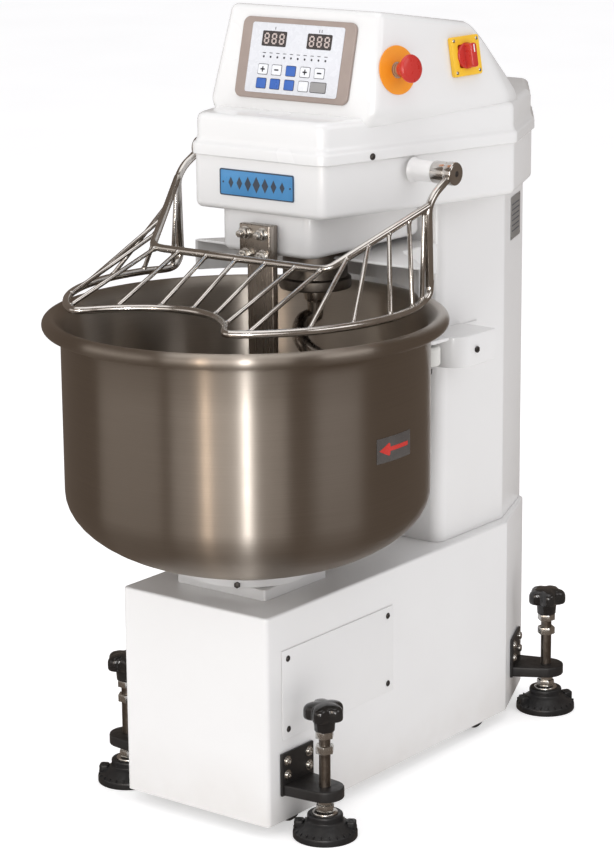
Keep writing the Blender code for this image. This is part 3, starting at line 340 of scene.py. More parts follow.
def belt_look():
    """Rubber belt with a faint cloth jacket."""
    look = Look("belt_rubber", 0.7)
    weave = look.node("ShaderNodeTexWave", wave_type="BANDS", bands_direction="DIAGONAL")
    weave.inputs["Scale"].default_value = 320.0
    look.link(look.coords(), weave.inputs["Vector"])
    look.colour(look.mixed(look.spread(weave.outputs["Fac"], 0.0, 1.0), (0.014, 0.014, 0.015),
        (0.040, 0.038, 0.036)))
    look.rough(look.spread(look.noise(60.0), 0.62, 0.82))
    look.bump(weave.outputs["Fac"], 0.0002, 0.6)
    return look.material


def board_look():
    """Circuit board lacquer with fine tracks."""
    look = Look("board_green", 0.35)
    bricks = look.node("ShaderNodeTexBrick")
    bricks.inputs["Scale"].default_value = 90.0
    bricks.inputs["Mortar Size"].default_value = 0.05
    look.link(look.coords(), bricks.inputs["Vector"])
    look.colour(look.mixed(bricks.outputs["Fac"], (0.015, 0.130, 0.050), (0.110, 0.300, 0.120)))
    look.rough(look.spread(look.noise(80.0), 0.25, 0.45))
    return look.material


def glass_look():
    """Smoked window of a number display."""
    look = Look("display_window", 0.12, Coat_Weight=0.6, Coat_Roughness=0.05)
    look.colour(look.mixed(look.spread(look.noise(160.0), 0.0, 1.0), (0.020, 0.016, 0.016),
        (0.036, 0.028, 0.028)))
    look.rough(look.spread(look.noise(40.0), 0.08, 0.18))
    return look.material


def make_looks():
    zinc = steel_look("zinc", (0.60, 0.59, 0.57), (0.76, 0.75, 0.72), 0.18, 0.30, (160.0, 160.0, 160.0))
    return {
        "paint": paint_look(),
        "cover": cover_look(),
        "bowl": bowl_look(),
        "tool": steel_look("tool_steel", (0.235, 0.205, 0.178), (0.300, 0.268, 0.238), 0.24, 0.32,
        (150.0, 150.0, 9.0)),
        "wire": steel_look("wire_steel", (0.60, 0.580, 0.555), (0.72, 0.70, 0.675), 0.14, 0.22,
        (40.0, 40.0, 40.0)),
        "zinc": zinc,
        "clamp": steel_look("clamp_steel", (0.36, 0.325, 0.290), (0.46, 0.42, 0.38), 0.24, 0.34,
        (90.0, 90.0, 12.0)),
        "dark_steel": steel_look("dark_steel", (0.060, 0.055, 0.052), (0.110, 0.102, 0.096), 0.34, 0.52,
        (90.0, 90.0, 90.0), 0.8),
        "bracket": plastic_look("bracket_black", (0.012, 0.011, 0.011), (0.024, 0.022, 0.021), 0.34,
        0.52, 500.0, 0.0001),
        "iron": cast_look("cast_iron", (0.07, 0.07, 0.075), (0.17, 0.17, 0.18)),
        "belt": belt_look(),
        "black": plastic_look("black_plastic", (0.014, 0.014, 0.015), (0.032, 0.032, 0.034), 0.35,
        0.55),
        "foot": foot_look(),
        "rod": steel_look("rod_steel", (0.230, 0.200, 0.176), (0.360, 0.325, 0.290), 0.30, 0.42,
        (120.0, 120.0, 120.0)),
        "knob": plastic_look("knob_black", (0.010, 0.009, 0.009), (0.020, 0.019, 0.018), 0.14, 0.26,
        300.0, 0.00004, Coat_Weight=0.3, Coat_Roughness=0.1),
        "bearing": steel_look("bearing_steel", (0.100, 0.088, 0.078), (0.190, 0.170, 0.150), 0.32, 0.48,
        (70.0, 70.0, 70.0)),
        "bezel": plastic_look("bezel_film", (0.330, 0.262, 0.228), (0.370, 0.298, 0.262), 0.34, 0.46),
        "film": plastic_look("keypad_film", (0.700, 0.705, 0.735), (0.730, 0.735, 0.765), 0.22, 0.32,
        800.0, 0.00002),
        "key_white": plastic_look("key_white", (0.800, 0.810, 0.830), (0.850, 0.855, 0.870), 0.24,
        0.34),
        "key_blue": plastic_look("key_blue", (0.030, 0.110, 0.420), (0.045, 0.145, 0.500), 0.26, 0.38),
        "key_grey": plastic_look("key_grey", (0.300, 0.290, 0.285), (0.350, 0.340, 0.335), 0.28, 0.40),
        "print": plastic_look("dark_print", (0.012, 0.012, 0.018), (0.026, 0.026, 0.034), 0.30, 0.42),
        "window": glass_look(),
        "digit": plastic_look("display_digit", (0.520, 0.430, 0.400), (0.600, 0.500, 0.460), 0.35,
        0.45),
        "plate_blue": plastic_look("plate_blue", (0.050, 0.235, 0.500), (0.080, 0.290, 0.570), 0.26,
        0.40, Coat_Weight=0.3),
        "plate_dark": plastic_look("plate_dark", (0.035, 0.050, 0.075), (0.060, 0.075, 0.100), 0.30,
        0.45),
        "grey": steel_look("grey_plate", (0.38, 0.38, 0.38), (0.50, 0.50, 0.49), 0.30, 0.45,
        (40.0, 40.0, 600.0), 0.6),
        "orange": plastic_look("stop_orange", (0.900, 0.300, 0.012), (0.940, 0.350, 0.020), 0.30, 0.42),
        "yellow": plastic_look("switch_yellow", (0.880, 0.500, 0.020), (0.930, 0.560, 0.035), 0.28,
        0.40),
        "red": plastic_look("button_red", (0.500, 0.022, 0.016), (0.600, 0.035, 0.026), 0.24, 0.38,
        Coat_Weight=0.2),
        "collar": plastic_look("collar_tan", (0.430, 0.250, 0.130), (0.500, 0.310, 0.180), 0.34, 0.48),
        "nylon": plastic_look("nylon", (0.700, 0.690, 0.650), (0.760, 0.750, 0.710), 0.38, 0.52),
        "board": board_look(),
        "motor": cast_look("motor_blue", (0.045, 0.085, 0.150), (0.075, 0.125, 0.210)),
        "sticker": plastic_look("sticker_grey", (0.070, 0.062, 0.058), (0.095, 0.086, 0.080), 0.35,
        0.50),
    }


# ---------------------------------------------------------------- mesh helpers

def loft(rings, closed=False):
    """Rings of points with equal counts, joined in order; capped unless closed into a loop."""
    bm = bmesh.new()
    made = [[bm.verts.new(p) for p in ring] for ring in rings]
    pairs = list(zip(made, made[1:]))
    if closed:
        pairs.append((made[-1], made[0]))
    for first, second in pairs:
        for i in range(len(first)):
            j = (i + 1) % len(first)
            bm.faces.new((first[i], first[j], second[j], second[i]))
    if not closed:
        bm.faces.new(made[0])
        bm.faces.new(made[-1])
    return bm


def lathe(profile, segments=48):
    """A turned shape: (radius, height) pairs, from the axis back to the axis or as a closed section."""
    bm = bmesh.new()
    rows = []
    for radius, height in profile:
        if radius < 1e-7:
            rows.append([bm.verts.new((0, 0, height))])
            continue
        row = []
        for i in range(segments):
            turn = 2 * PI * i / segments
            row.append(bm.verts.new((radius * math.cos(turn), radius * math.sin(turn), height)))
        rows.append(row)
    on_axis = len(rows[0]) == 1
    pairs = list(zip(rows, rows[1:] + ([] if on_axis else rows[:1])))
    for first, second in pairs:
        for i in range(segments):
            j = (i + 1) % segments
            corners = [first[i % len(first)], first[j % len(first)], second[j % len(second)],
                second[i % len(second)]]
            unique = list(dict.fromkeys(corners))
            if len(unique) > 2:
                bm.faces.new(unique)
    return bm


def eased(profile, radius=0.0006, steps=3):
    """Profile with each inner corner rounded by a small arc."""
    points = [Vector(p) for p in profile]
    result = [tuple(points[0])]
    for before, here, after in zip(points, points[1:], points[2:]):
        back, ahead = before - here, after - here
        reach = min(radius, back.length * 0.45, ahead.length * 0.45)
        start, stop = here + back.normalized() * reach, here + ahead.normalized() * reach
        for i in range(steps + 1):
            t = i / steps
            result.append(tuple(start * (1 - t) ** 2 + here * 2 * t * (1 - t) + stop * t ** 2))
    result.append(tuple(points[-1]))
    return result


def filleted(points, radius, steps=6):
    """A path in space with its corners turned into smooth bends."""
    points = [Vector(p) for p in points]
    result = [points[0]]
    for before, here, after in zip(points, points[1:], points[2:]):
        back, ahead = before - here, after - here
        reach = min(radius, back.length * 0.45, ahead.length * 0.45)
        start, stop = here + back.normalized() * reach, here + ahead.normalized() * reach
        for i in range(steps + 1):
            t = i / steps
            result.append(start * (1 - t) ** 2 + here * 2 * t * (1 - t) + stop * t ** 2)
    result.append(points[-1])
    return result


def flowing(points, steps=4):
    """A smooth path through all the points."""
    points = [Vector(p) for p in points]
    ends = [points[0] * 2 - points[1]] + points + [points[-1] * 2 - points[-2]]
    result = []
    for a, b, c, d in zip(ends, ends[1:], ends[2:], ends[3:]):
        for i in range(steps):
            t = i / steps
            result.append(0.5 * (2 * b + (c - a) * t + (2 * a - 5 * b + 4 * c - d) * t ** 2
                + (3 * b - a - 3 * c + d) * t ** 3))
    result.append(points[-1])
    return result


def sweep(points, radius, sides=12):
    """A round bar along a path, with domed ends. radius may be a list."""
    points = [Vector(p) for p in points]
    radii = radius if isinstance(radius, list) else [radius] * len(points)
    tangents = []
    for i in range(len(points)):
        tangents.append((points[min(i + 1, len(points) - 1)] - points[max(i - 1, 0)]).normalized())
    side = tangents[0].orthogonal().normalized()
    rings = []
    for index, (point, tangent, size) in enumerate(zip(points, tangents, radii)):
        side = (side - tangent * side.dot(tangent)).normalized()
        other = tangent.cross(side)
        offsets = [(0.0, 1.0)]
        if index == 0:
            offsets = [(-0.42, 0.55), (-0.22, 0.88), (0.0, 1.0)]
        if index == len(points) - 1:
            offsets = [(0.0, 1.0), (0.22, 0.88), (0.42, 0.55)]
        for shift, scale in offsets:
            ring = []
            for i in range(sides):
                turn = 2 * PI * i / sides
                out = side * (math.cos(turn) * size * scale) + other * (math.sin(turn) * size * scale)
                ring.append(point + tangent * (shift * size) + out)
            rings.append(ring)
    return loft(rings)


def rounded(outline, radius, steps=6):
    """Corners of a plan outline replaced by arcs of about this radius."""
    result = []
    count = len(outline)
    for i in range(count):
        here, before, after = Vector(outline[i]), Vector(outline[i
            - 1]), Vector(outline[(i + 1) % count])
        back, ahead = (before - here).normalized(), (after - here).normalized()
        half = back.angle(ahead) / 2
        reach = min(radius / math.tan(half), (before - here).length * 0.45,
            (after - here).length * 0.45)
        true_radius = reach * math.tan(half)
        centre = here + (back + ahead).normalized() * (true_radius / math.sin(half))
        start, stop = here + back * reach - centre, here + ahead * reach - centre
        for step in range(steps + 1):
            result.append(tuple(centre + start.lerp(stop, step / steps).normalized() * true_radius))
    return result


def offset(outline, amount):
    """A convex plan outline moved outwards by the amount."""
    result = []
    count = len(outline)
    for i in range(count):
        here = Vector(outline[i])
        back = (here - Vector(outline[i - 1])).normalized()
        ahead = (Vector(outline[(i + 1) % count]) - here).normalized()
        first, second = Vector((back.y, -back.x)), Vector((ahead.y, -ahead.x))
        middle = (first + second).normalized()
        result.append(tuple(here + middle * (amount / max(middle.dot(first), 0.3))))
    return result


def mirrored(right):
    """Right-hand points, front to back, completed with their mirror image, anticlockwise."""
    return right + [(-x, y) for x, y in reversed(right)]


def level(outline, height):
    return [(x, y, height) for x, y in outline]


def edge_steps(size, count=4):
    """(inset, rise) pairs of a rounded edge, from the face to the side."""
    pairs = []
    for i in range(count + 1):
        turn = PI / 2 * i / count
        pairs.append((size * (1 - math.sin(turn)), size * (1 - math.cos(turn))))
    return pairs


def slab(outline, low, high, low_edge=0.0006, high_edge=0.0006, count=3):
    """An upright prism with rounded edges at both ends."""
    rings = []
    for inset, rise in edge_steps(low_edge, count):
        rings.append(level(offset(outline, -inset), low + rise))
    for inset, rise in reversed(edge_steps(high_edge, count)):
        rings.append(level(offset(outline, -inset), high - rise))
    return loft(rings)


def rectangle(half_x, half_y, radius, centre=(0, 0), steps=5):
    corners = [(half_x, -half_y), (half_x, half_y), (-half_x, half_y), (-half_x, -half_y)]
    return rounded([(x + centre[0], y + centre[1]) for x, y in corners], radius, steps)


def block(low, high, edge=0.001):
    """A box with softened edges between two corners."""
    low, high = Vector(low), Vector(high)
    middle, half = (low + high) / 2, (high - low) / 2
    return slab(rectangle(half.x, half.y, edge * 1.5, middle.xy, 3), low.z, high.z, edge, edge)


def hexagon(radius):
    return [(radius * math.cos(PI / 3 * i), radius * math.sin(PI / 3 * i)) for i in range(6)]


def hex_nut(radius, low, high):
    """Hexagon with chamfered corners, standing on Z."""
    body = slab(rounded(hexagon(radius), 0.0006, 2), low, high, 0.0008, 0.0008, 2)
    return body


def screw_head(radius, height):
    """Domed head with a washer under it and a round recess, standing on Z."""
    recess = radius * 0.42
    profile = [(0, height * 0.45), (recess, height * 0.45), (recess, height * 0.94),
        (radius * 0.62, height * 0.92)]
    profile += [(radius * 0.88, height * 0.62), (radius, height * 0.22), (radius * 1.25, height * 0.20),
        (radius * 1.25, 0), (0, 0)]
    return lathe(eased(profile, 0.0005), 24)


def moved(bm, place, turn=None):
    bmesh.ops.transform(bm, matrix=(Matrix.Translation(place) @ (turn or Matrix.Identity(4))),
        verts=bm.verts)
    return bm


def along(bm, matrix):
    bmesh.ops.transform(bm, matrix=matrix, verts=bm.verts)
    return bm


def joined(parts):
    """(mesh, material index) pairs as one mesh."""
    bm = bmesh.new()
    for part, index in parts:
        for face in part.faces:
            face.material_index = index
        scratch = bpy.data.meshes.new("scratch")
        bmesh.ops.recalc_face_normals(part, faces=part.faces)
        part.to_mesh(scratch)
        part.free()
        bm.from_mesh(scratch)
        bpy.data.meshes.remove(scratch)
    return bm


def piece(name, parts, body, looks, slot, *nodes, sharp=38):
    """Makes an object of the mesh parts, shades it, and rides it on its body."""
    if not isinstance(parts, list):
        parts = [(parts, 0)]
    bm = joined(parts)
    for edge in bm.edges:
        edge.smooth = len(edge.link_faces) == 2 and edge.calc_face_angle(0) < math.radians(sharp)
    for face in bm.faces:
        face.smooth = True
    mesh = bpy.data.meshes.new(name)
    bm.to_mesh(mesh)
    bm.free()
    for look in looks:
        mesh.materials.append(LOOKS[look])
    made = bpy.data.objects.new(name, mesh)
    bpy.context.scene.collection.objects.link(made)
    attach(made, body)
    if nodes:
        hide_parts(*nodes)
    return made


def frame_on(origin, across, up, normal):
    turn = Matrix((across, up, normal)).transposed().to_4x4()
    return Matrix.Translation(origin) @ turn


X_OUT = Matrix.Rotation(PI / 2, 4, "Y")
FRONT_OUT = Matrix.Rotation(PI / 2, 4, "X")
REAR_OUT = Matrix.Rotation(-PI / 2, 4, "X")


# ---------------------------------------------------------------- base and column

def base_outline():
    return mirrored([(BASE_HIGH.x, BASE_LOW.y), (BASE_HIGH.x, BASE_SIDE_END),
        (BASE_REAR_HALF, BASE_HIGH.y)])


def column_outline():
    right = [(COLUMN_HIGH.x, COLUMN_LOW.y), (COLUMN_HIGH.x, COLUMN_SIDE_END)]
    return mirrored(right + [(COLUMN_REAR_HALF, COLUMN_HIGH.y)])


def build_base():
    """Open-bottomed box of folded sheet, its edges rolled over a small radius."""
    outer = rounded(base_outline(), 0.008, 6)
    inner = rounded(offset(base_outline(), -SHEET), 0.005, 6)
    low, high = BASE_LOW.z, BASE_HIGH.z
    rings = [level(inner, high - SHEET), level(inner, low), level(outer, low)]
    for inset, rise in reversed(edge_steps(0.004, 5)):
        rings.append(level(offset(outer, -inset), high - rise))
    piece("base_box", loft(rings), "frame", ["paint"], "white_paint", "base_frame")
    low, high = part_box("turntable_plinth")
    outline = rectangle(high.x, (high.y - low.y) / 2, 0.004, (0, (low.y + high.y) / 2))
    piece("plinth", slab(outline, low.z, high.z, 0.0005, 0.0020, 4), "frame", ["paint"], "white_paint",
        "turntable_plinth")


def build_side_panel():
    low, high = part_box("side_panel")
    face = BASE_HIGH.x + 0.0003
    plate = block((face, low.y, low.z), (face + 0.0016, high.y, high.z), 0.0006)
    parts = [(plate, 0)]
    inset = 0.0145
    for y in (low.y + inset, high.y - inset):
        for z in (low.z + inset, high.z - inset):
            parts.append((moved(screw_head(0.0040, 0.0026), (face + 0.0016, y, z), X_OUT), 1))
    piece("access_panel", parts, "frame", ["paint", "dark_steel"], "white_paint", "side_panel")


def build_column():
    outline = rounded(column_outline(), 0.020, 10)
    shell = slab(outline, COLUMN_LOW.z, COLUMN_HIGH.z, 0.0006, 0.0006, 2)
    piece("column_sheet", shell, "frame", ["paint"], "white_paint", "column_shell")
    low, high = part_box("rear_cover")
    face = COLUMN_HIGH.y + 0.0003
    parts = [(block((low.x, face, low.z), (high.x, face + 0.0016, high.z), 0.0006), 0)]
    for x in (-0.050, 0.050):
        for z in (low.z + 0.010, (low.z + high.z) / 2, high.z - 0.010):
            parts.append((moved(screw_head(0.0036, 0.0024), (x, face + 0.0016, z), REAR_OUT), 1))
    # Near-black bars across the panel: painted shade standing in for the depth of the vent slots
    for i in range(9):
        z = high.z - 0.075 - 0.011 * i
        shaded_slot_bar = block((-0.034, face + 0.0010, z), (0.034, face + 0.0030, z + 0.0045), 0.0009)
        parts.append((shaded_slot_bar, 2))
    piece("rear_panel", parts, "frame", ["paint", "zinc", "print"], "white_paint", "rear_cover")


def build_rating_plate():
    """Blank plate with six dark lines and four rivets on the column's chamfer."""
    start, stop = Vector((COLUMN_HIGH.x, COLUMN_SIDE_END, 0)), Vector((COLUMN_REAR_HALF, COLUMN_HIGH.y,
        0))
    direction = (stop - start).normalized()
    normal = Vector((direction.y, -direction.x, 0))
    low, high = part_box("rating_plate")
    origin = start.lerp(stop, 0.53) + normal * 0.0003 + Vector((0, 0, (low.z + high.z) / 2))
    place = frame_on(origin, Vector((0, 0, 1)).cross(normal), Vector((0, 0, 1)), normal)
    parts = [(slab(rectangle(0.037, 0.036, 0.002), 0.0, 0.0007, 0.0002, 0.0002, 2), 0)]
    for i in range(6):
        y = 0.022 - 0.0088 * i
        parts.append((slab(rectangle(0.029, 0.0010, 0.0004, (0, y)), 0.0005, 0.00082, 0.00005, 0.00005,
            1), 1))
    for x in (-0.033, 0.033):
        for y in (-0.032, 0.032):
            parts.append((moved(lathe(eased([(0, 0.0012), (0.0012, 0.0009), (0.0016, 0.0004),
                (0, 0.0003)], 0.0003), 12), (x, y, 0)), 2))
    along_parts = [(along(bm, place), index) for bm, index in parts]
    piece("blank_plate", along_parts, "frame", ["grey", "plate_dark", "zinc"], "grey_plate",
        "rating_plate")


# ---------------------------------------------------------------- head

def head_outline():
    right = [(HEAD_FRONT_HALF, HEAD_LOW.y), (HEAD_HIGH.x, HEAD_WIDE)]
    return mirrored(right + [(HEAD_CHAMFER_HALF, HEAD_CHAMFER), (HEAD_REAR_HALF, HEAD_HIGH.y)])


def build_head():
    outline = rounded(head_outline(), 0.016, 8)
    body = slab(outline, HEAD_LOW.z, HEAD_HIGH.z, 0.010, 0.0006, 6)
    piece("head_shell", body, "frame", ["paint"], "white_paint", "head_body")
    front, rear = NECK_LOW.y, NECK_HIGH.y
    half = NECK_HIGH.x
    neck = rounded([(half, front), (half, rear), (-half, rear), (-half, front)], 0.024, 10)
    piece("neck_casting", slab(neck, NECK_LOW.z, NECK_HIGH.z, 0.010, 0.0006, 6), "frame", ["paint"],
        "white_paint", "head_neck")


def build_cover():
    """Moulded cover: lip, crease and rounded shoulder, with the console standing on it."""
    outline = head_outline()
    steps = [(LIP - 0.0010, COVER_LOW.z), (LIP, COVER_LOW.z + 0.0012), (LIP, CREASE_Z - 0.0050),
        (LIP - 0.0004, CREASE_Z - 0.0022)]
    steps += [(LIP - 0.0018, CREASE_Z), (LIP - 0.0040, CREASE_Z + 0.0020), (0.0000, CREASE_Z + 0.0042),
        (-0.0012, CREASE_Z + 0.0070)]
    steps += [(-0.0017, CREASE_Z + 0.0110), (-0.0017, SHOULDER_Z - 0.0090)]
    for inset, rise in reversed(edge_steps(0.0100, 5)):
        steps.append((-0.0020 - inset, SHOULDER_Z + 0.0020 - rise))
    rings = []
    for amount, height in steps:
        rings.append(level(rounded(offset(outline, amount), 0.020, 8), height))
    parts = [(loft(rings), 0), (console_mesh(), 0)]
    slope = math.atan2(HEAD_HIGH.x - HEAD_FRONT_HALF, HEAD_WIDE - HEAD_LOW.y)
    y = BOWL_Y + 0.121
    reach = HEAD_FRONT_HALF + math.tan(slope) * (y - HEAD_LOW.y) + LIP
    for side in (-1, 1):
        turn = Matrix.Rotation(-side * slope, 4, "Z") @ Matrix.Rotation(side * PI / 2, 4, "Y")
        parts.append((moved(screw_head(0.0042, 0.0034), (side * reach, y, 1.0185), turn), 1))
    piece("cover_moulding", parts, "frame", ["cover", "dark_steel"], "cover_white", "head_cover")


def console_half(y, z):
    return CONSOLE_HALF + SIDE_SPREAD * (y - CONSOLE_FRONT) + SIDE_LEAN * (z - CONSOLE_Z)


def console_front(z):
    return CONSOLE_FRONT + FRONT_LEAN * (z - CONSOLE_Z)


def cover_half(y):
    """Half width of the cover's side wall."""
    if y <= HEAD_WIDE:
        share = (y - HEAD_LOW.y) / (HEAD_WIDE - HEAD_LOW.y)
        return HEAD_FRONT_HALF + (HEAD_HIGH.x - HEAD_FRONT_HALF) * share
    share = (y - HEAD_WIDE) / (HEAD_CHAMFER - HEAD_WIDE)
    return HEAD_HIGH.x + (HEAD_CHAMFER_HALF - HEAD_HIGH.x) * share


def console_mesh():
    """Console with a leaning front, leaning sides and a sloping back, its foot drawn in to meet the cover."""
    top, wide, foot, low = COVER_HIGH.z, HEAD_WIDE - 0.004, CONSOLE_Z - 0.012, CONSOLE_Z + 0.014
    table = (
        ("foot_front", console_front(foot), foot, cover_half(CONSOLE_FRONT) - 0.004),
        ("low_front", console_front(low), low, console_half(console_front(low), low)),
        ("top_front", console_front(top), top, console_half(console_front(top), top)),
        ("crest", CONSOLE_CREST, CONSOLE_TOP_REAR, console_half(CONSOLE_CREST, CONSOLE_TOP_REAR)),
        ("tail", CONSOLE_TAIL, SHOULDER_Z + 0.006, CONSOLE_TAIL_HALF),
        ("foot_tail", CONSOLE_TAIL, foot, CONSOLE_TAIL_HALF - 0.004),
        ("foot_wide", wide, foot, cover_half(wide) - 0.010),
        ("low_wide", wide, low, console_half(wide, low)),
    )
    bm = bmesh.new()
    pairs = {name: [bm.verts.new((side * half, y, z)) for side in (-1, 1)] for name, y, z,
        half in table}
    order = ["foot_front", "low_front", "top_front", "crest", "tail", "foot_tail", "foot_wide"]
    for i, name in enumerate(order):
        bm.faces.new(pairs[name] + pairs[order[(i + 1) % len(order)]][::-1])
    sides = (
        ("low_front", "top_front", "crest", "low_wide"),
        ("foot_front", "low_front", "low_wide", "foot_wide"),
        ("low_wide", "crest", "tail"),
        ("foot_wide", "low_wide", "tail"),
        ("foot_wide", "tail", "foot_tail"),
    )
    for side in (0, 1):
        for names in sides:
            bm.faces.new([pairs[name][side] for name in names])
    bmesh.ops.recalc_face_normals(bm, faces=bm.faces)
    edges = [e for e in bm.edges if e.calc_face_angle(0) > math.radians(24)]
    bmesh.ops.bevel(bm, geom=edges, offset=0.012, segments=6, profile=0.5, affect="EDGES",
        clamp_overlap=True)
    return bm


def front_frame(lift=0.0):
    normal = Vector((0, -1.0, FRONT_LEAN)).normalized()
    up = Vector((0, FRONT_LEAN, 1.0)).normalized()
    origin = Vector((0, console_front(PANEL_Z), PANEL_Z)) + normal * lift
    return frame_on(origin, up.cross(normal), up, normal)


def side_frame(y, z):
    normal = Vector((1.0, -SIDE_SPREAD, -SIDE_LEAN)).normalized()
    lean = Vector((SIDE_LEAN, 0, 1))
    up = (lean - normal * normal.dot(lean)).normalized()
    return frame_on(Vector((console_half(y, z), y, z)), up.cross(normal), up, normal)


# ---------------------------------------------------------------- console controls

def digit_bars(x, y, height):
    """Seven bars of one number window digit."""
    width = height * 0.52
    thick = height * 0.085
    bars = []
    for row in (-1, 0, 1):
        bars.append(rectangle(width * 0.40, thick, thick * 0.4, (x, y + row * height / 2), 1))
    for side in (-1, 1):
        for half in (-1, 1):
            centre = (x + side * width / 2, y + half * height / 4)
            bars.append(rectangle(thick, height * 0.19, thick * 0.4, centre, 1))
    return bars


def build_keypad():
    """Film with two number windows, a row of lamps and two rows of raised keys."""
    place = front_frame()
    bezel = slab(rectangle(0.109, 0.0625, 0.012, steps=8), 0.0003, 0.0045, 0.0003, 0.0022, 5)
    piece("bezel_frame", along(bezel, place), "frame", ["bezel"], "beige_plastic", "panel_bezel")
    half_x, half_y = 0.0885, 0.0540
    top = 0.0053
    parts = [(slab(rectangle(half_x, half_y, 0.004), 0.0047, top, 0.0002, 0.0003, 2), 0)]

    def spot(u, v):
        return ((u * 2 - 1) * half_x, (1 - v * 2) * half_y)

    for u in (0.255, 0.745):
        x, y = spot(u, 0.225)
        parts.append((slab(rectangle(0.0235, 0.0118, 0.0022, (x, y)), top - 0.0002, top + 0.0003,
            0.0001, 0.0001, 1), 1))
        for shift in (-0.0145, 0.0, 0.0145):
            for bar in digit_bars(x + shift, y, 0.0145):
                parts.append((slab(bar, top, top + 0.00045, 0.00003, 0.00003, 1), 2))
    for u in (0.255, 0.732, 0.758):
        x, y = spot(u, 0.075)
        parts.append((slab(rectangle(0.0006, 0.0022, 0.0002, (x, y), 1), top - 0.0001, top + 0.00012,
            0.00003, 0.00003, 1), 3))
    for i in range(10):
        x, y = spot(0.165 + 0.0745 * i, 0.485)
        lamp = lathe(eased([(0, 0.0006), (0.0014, 0.0004), (0.0019, 0), (0, -0.0002)], 0.0003), 14)
        parts.append((moved(lamp, (x, y, top)), 3))
        parts.append((slab(rectangle(0.0032, 0.0005, 0.0002, (x, y + 0.0060), 1), top - 0.0001,
            top + 0.00012, 0.00003, 0.00003, 1), 3))
    upper = [(0.175, 4, "plus"), (0.325, 4, "minus"), (0.48, 5, None), (0.635, 4, "plus"),
        (0.79, 4, "minus")]
    lower = [(0.175, 5, None), (0.325, 5, None), (0.48, 5, None), (0.635, 4, None), (0.795, 6, None)]
    for row, v in ((upper, 0.665), (lower, 0.865)):
        for u, look, sign in row:
            x, y = spot(u, v)
            wide = 0.0145 if look == 6 else 0.0090
            parts.append((slab(rectangle(wide + 0.0008, 0.0083, 0.0022, (x, y)), top - 0.0001,
                top + 0.0002, 0.00005, 0.00005, 1), 3))
            parts.append((slab(rectangle(wide, 0.0075, 0.0020, (x, y)), top, top + 0.0009, 0.0001,
                0.0005, 3), look))
            if sign:
                parts.append((slab(rectangle(0.0042, 0.0011, 0.0003, (x, y), 1), top + 0.0008,
                    top + 0.0011, 0.00003, 0.00003, 1), 3))
            if sign == "plus":
                parts.append((slab(rectangle(0.0011, 0.0042, 0.0003, (x, y), 1), top + 0.0008,
                    top + 0.0011, 0.00003, 0.00003, 1), 3))
    placed = [(along(bm, place), index) for bm, index in parts]
    looks = ["film", "window", "digit", "print", "key_white", "key_blue", "key_grey"]
    piece("keypad_film", placed, "frame", looks, "keypad_film", "panel_keypad")


def build_nameplate():
    """Plain blue plate with a dark raised border, two rivets and a row of diamonds."""
    low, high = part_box("nameplate")
    place = Matrix.Translation((0, high.y, (low.z + high.z) / 2)) @ FRONT_OUT
    parts = [(slab(rectangle(0.0715, 0.0205, 0.003), 0.0, 0.0012, 0.0002, 0.0004, 2), 0)]
    outer, inner = rectangle(0.0715, 0.0205, 0.003), rectangle(0.0695, 0.0185, 0.0022)
    border = loft([level(outer, 0.0010), level(offset(outer, -0.0003), 0.0017),
        level(offset(inner, 0.0003), 0.0017), level(inner, 0.0010)], True)
    parts.append((border, 1))
    for i in range(7):
        size = 0.0128 - 0.0014 * abs(i - 3)
        diamond = [(size * 0.55, 0), (0, size), (-size * 0.55, 0), (0, -size)]
        centre = 0.0165 * (i - 3)
        shape = slab([(x + centre, y) for x, y in diamond], 0.0010, 0.0016, 0.0001, 0.0002, 1)
        parts.append((shape, 1))
    for x in (-0.0645, 0.0645):
        rivet = lathe(eased([(0, 0.0024), (0.0012, 0.0020), (0.0017, 0.0012), (0, 0.0010)], 0.0003), 14)
        parts.append((moved(rivet, (x, 0, 0)), 1))
    placed = [(along(bm, place), index) for bm, index in parts]
    piece("blue_badge", placed, "frame", ["plate_blue", "plate_dark"], "blue_plate", "nameplate")


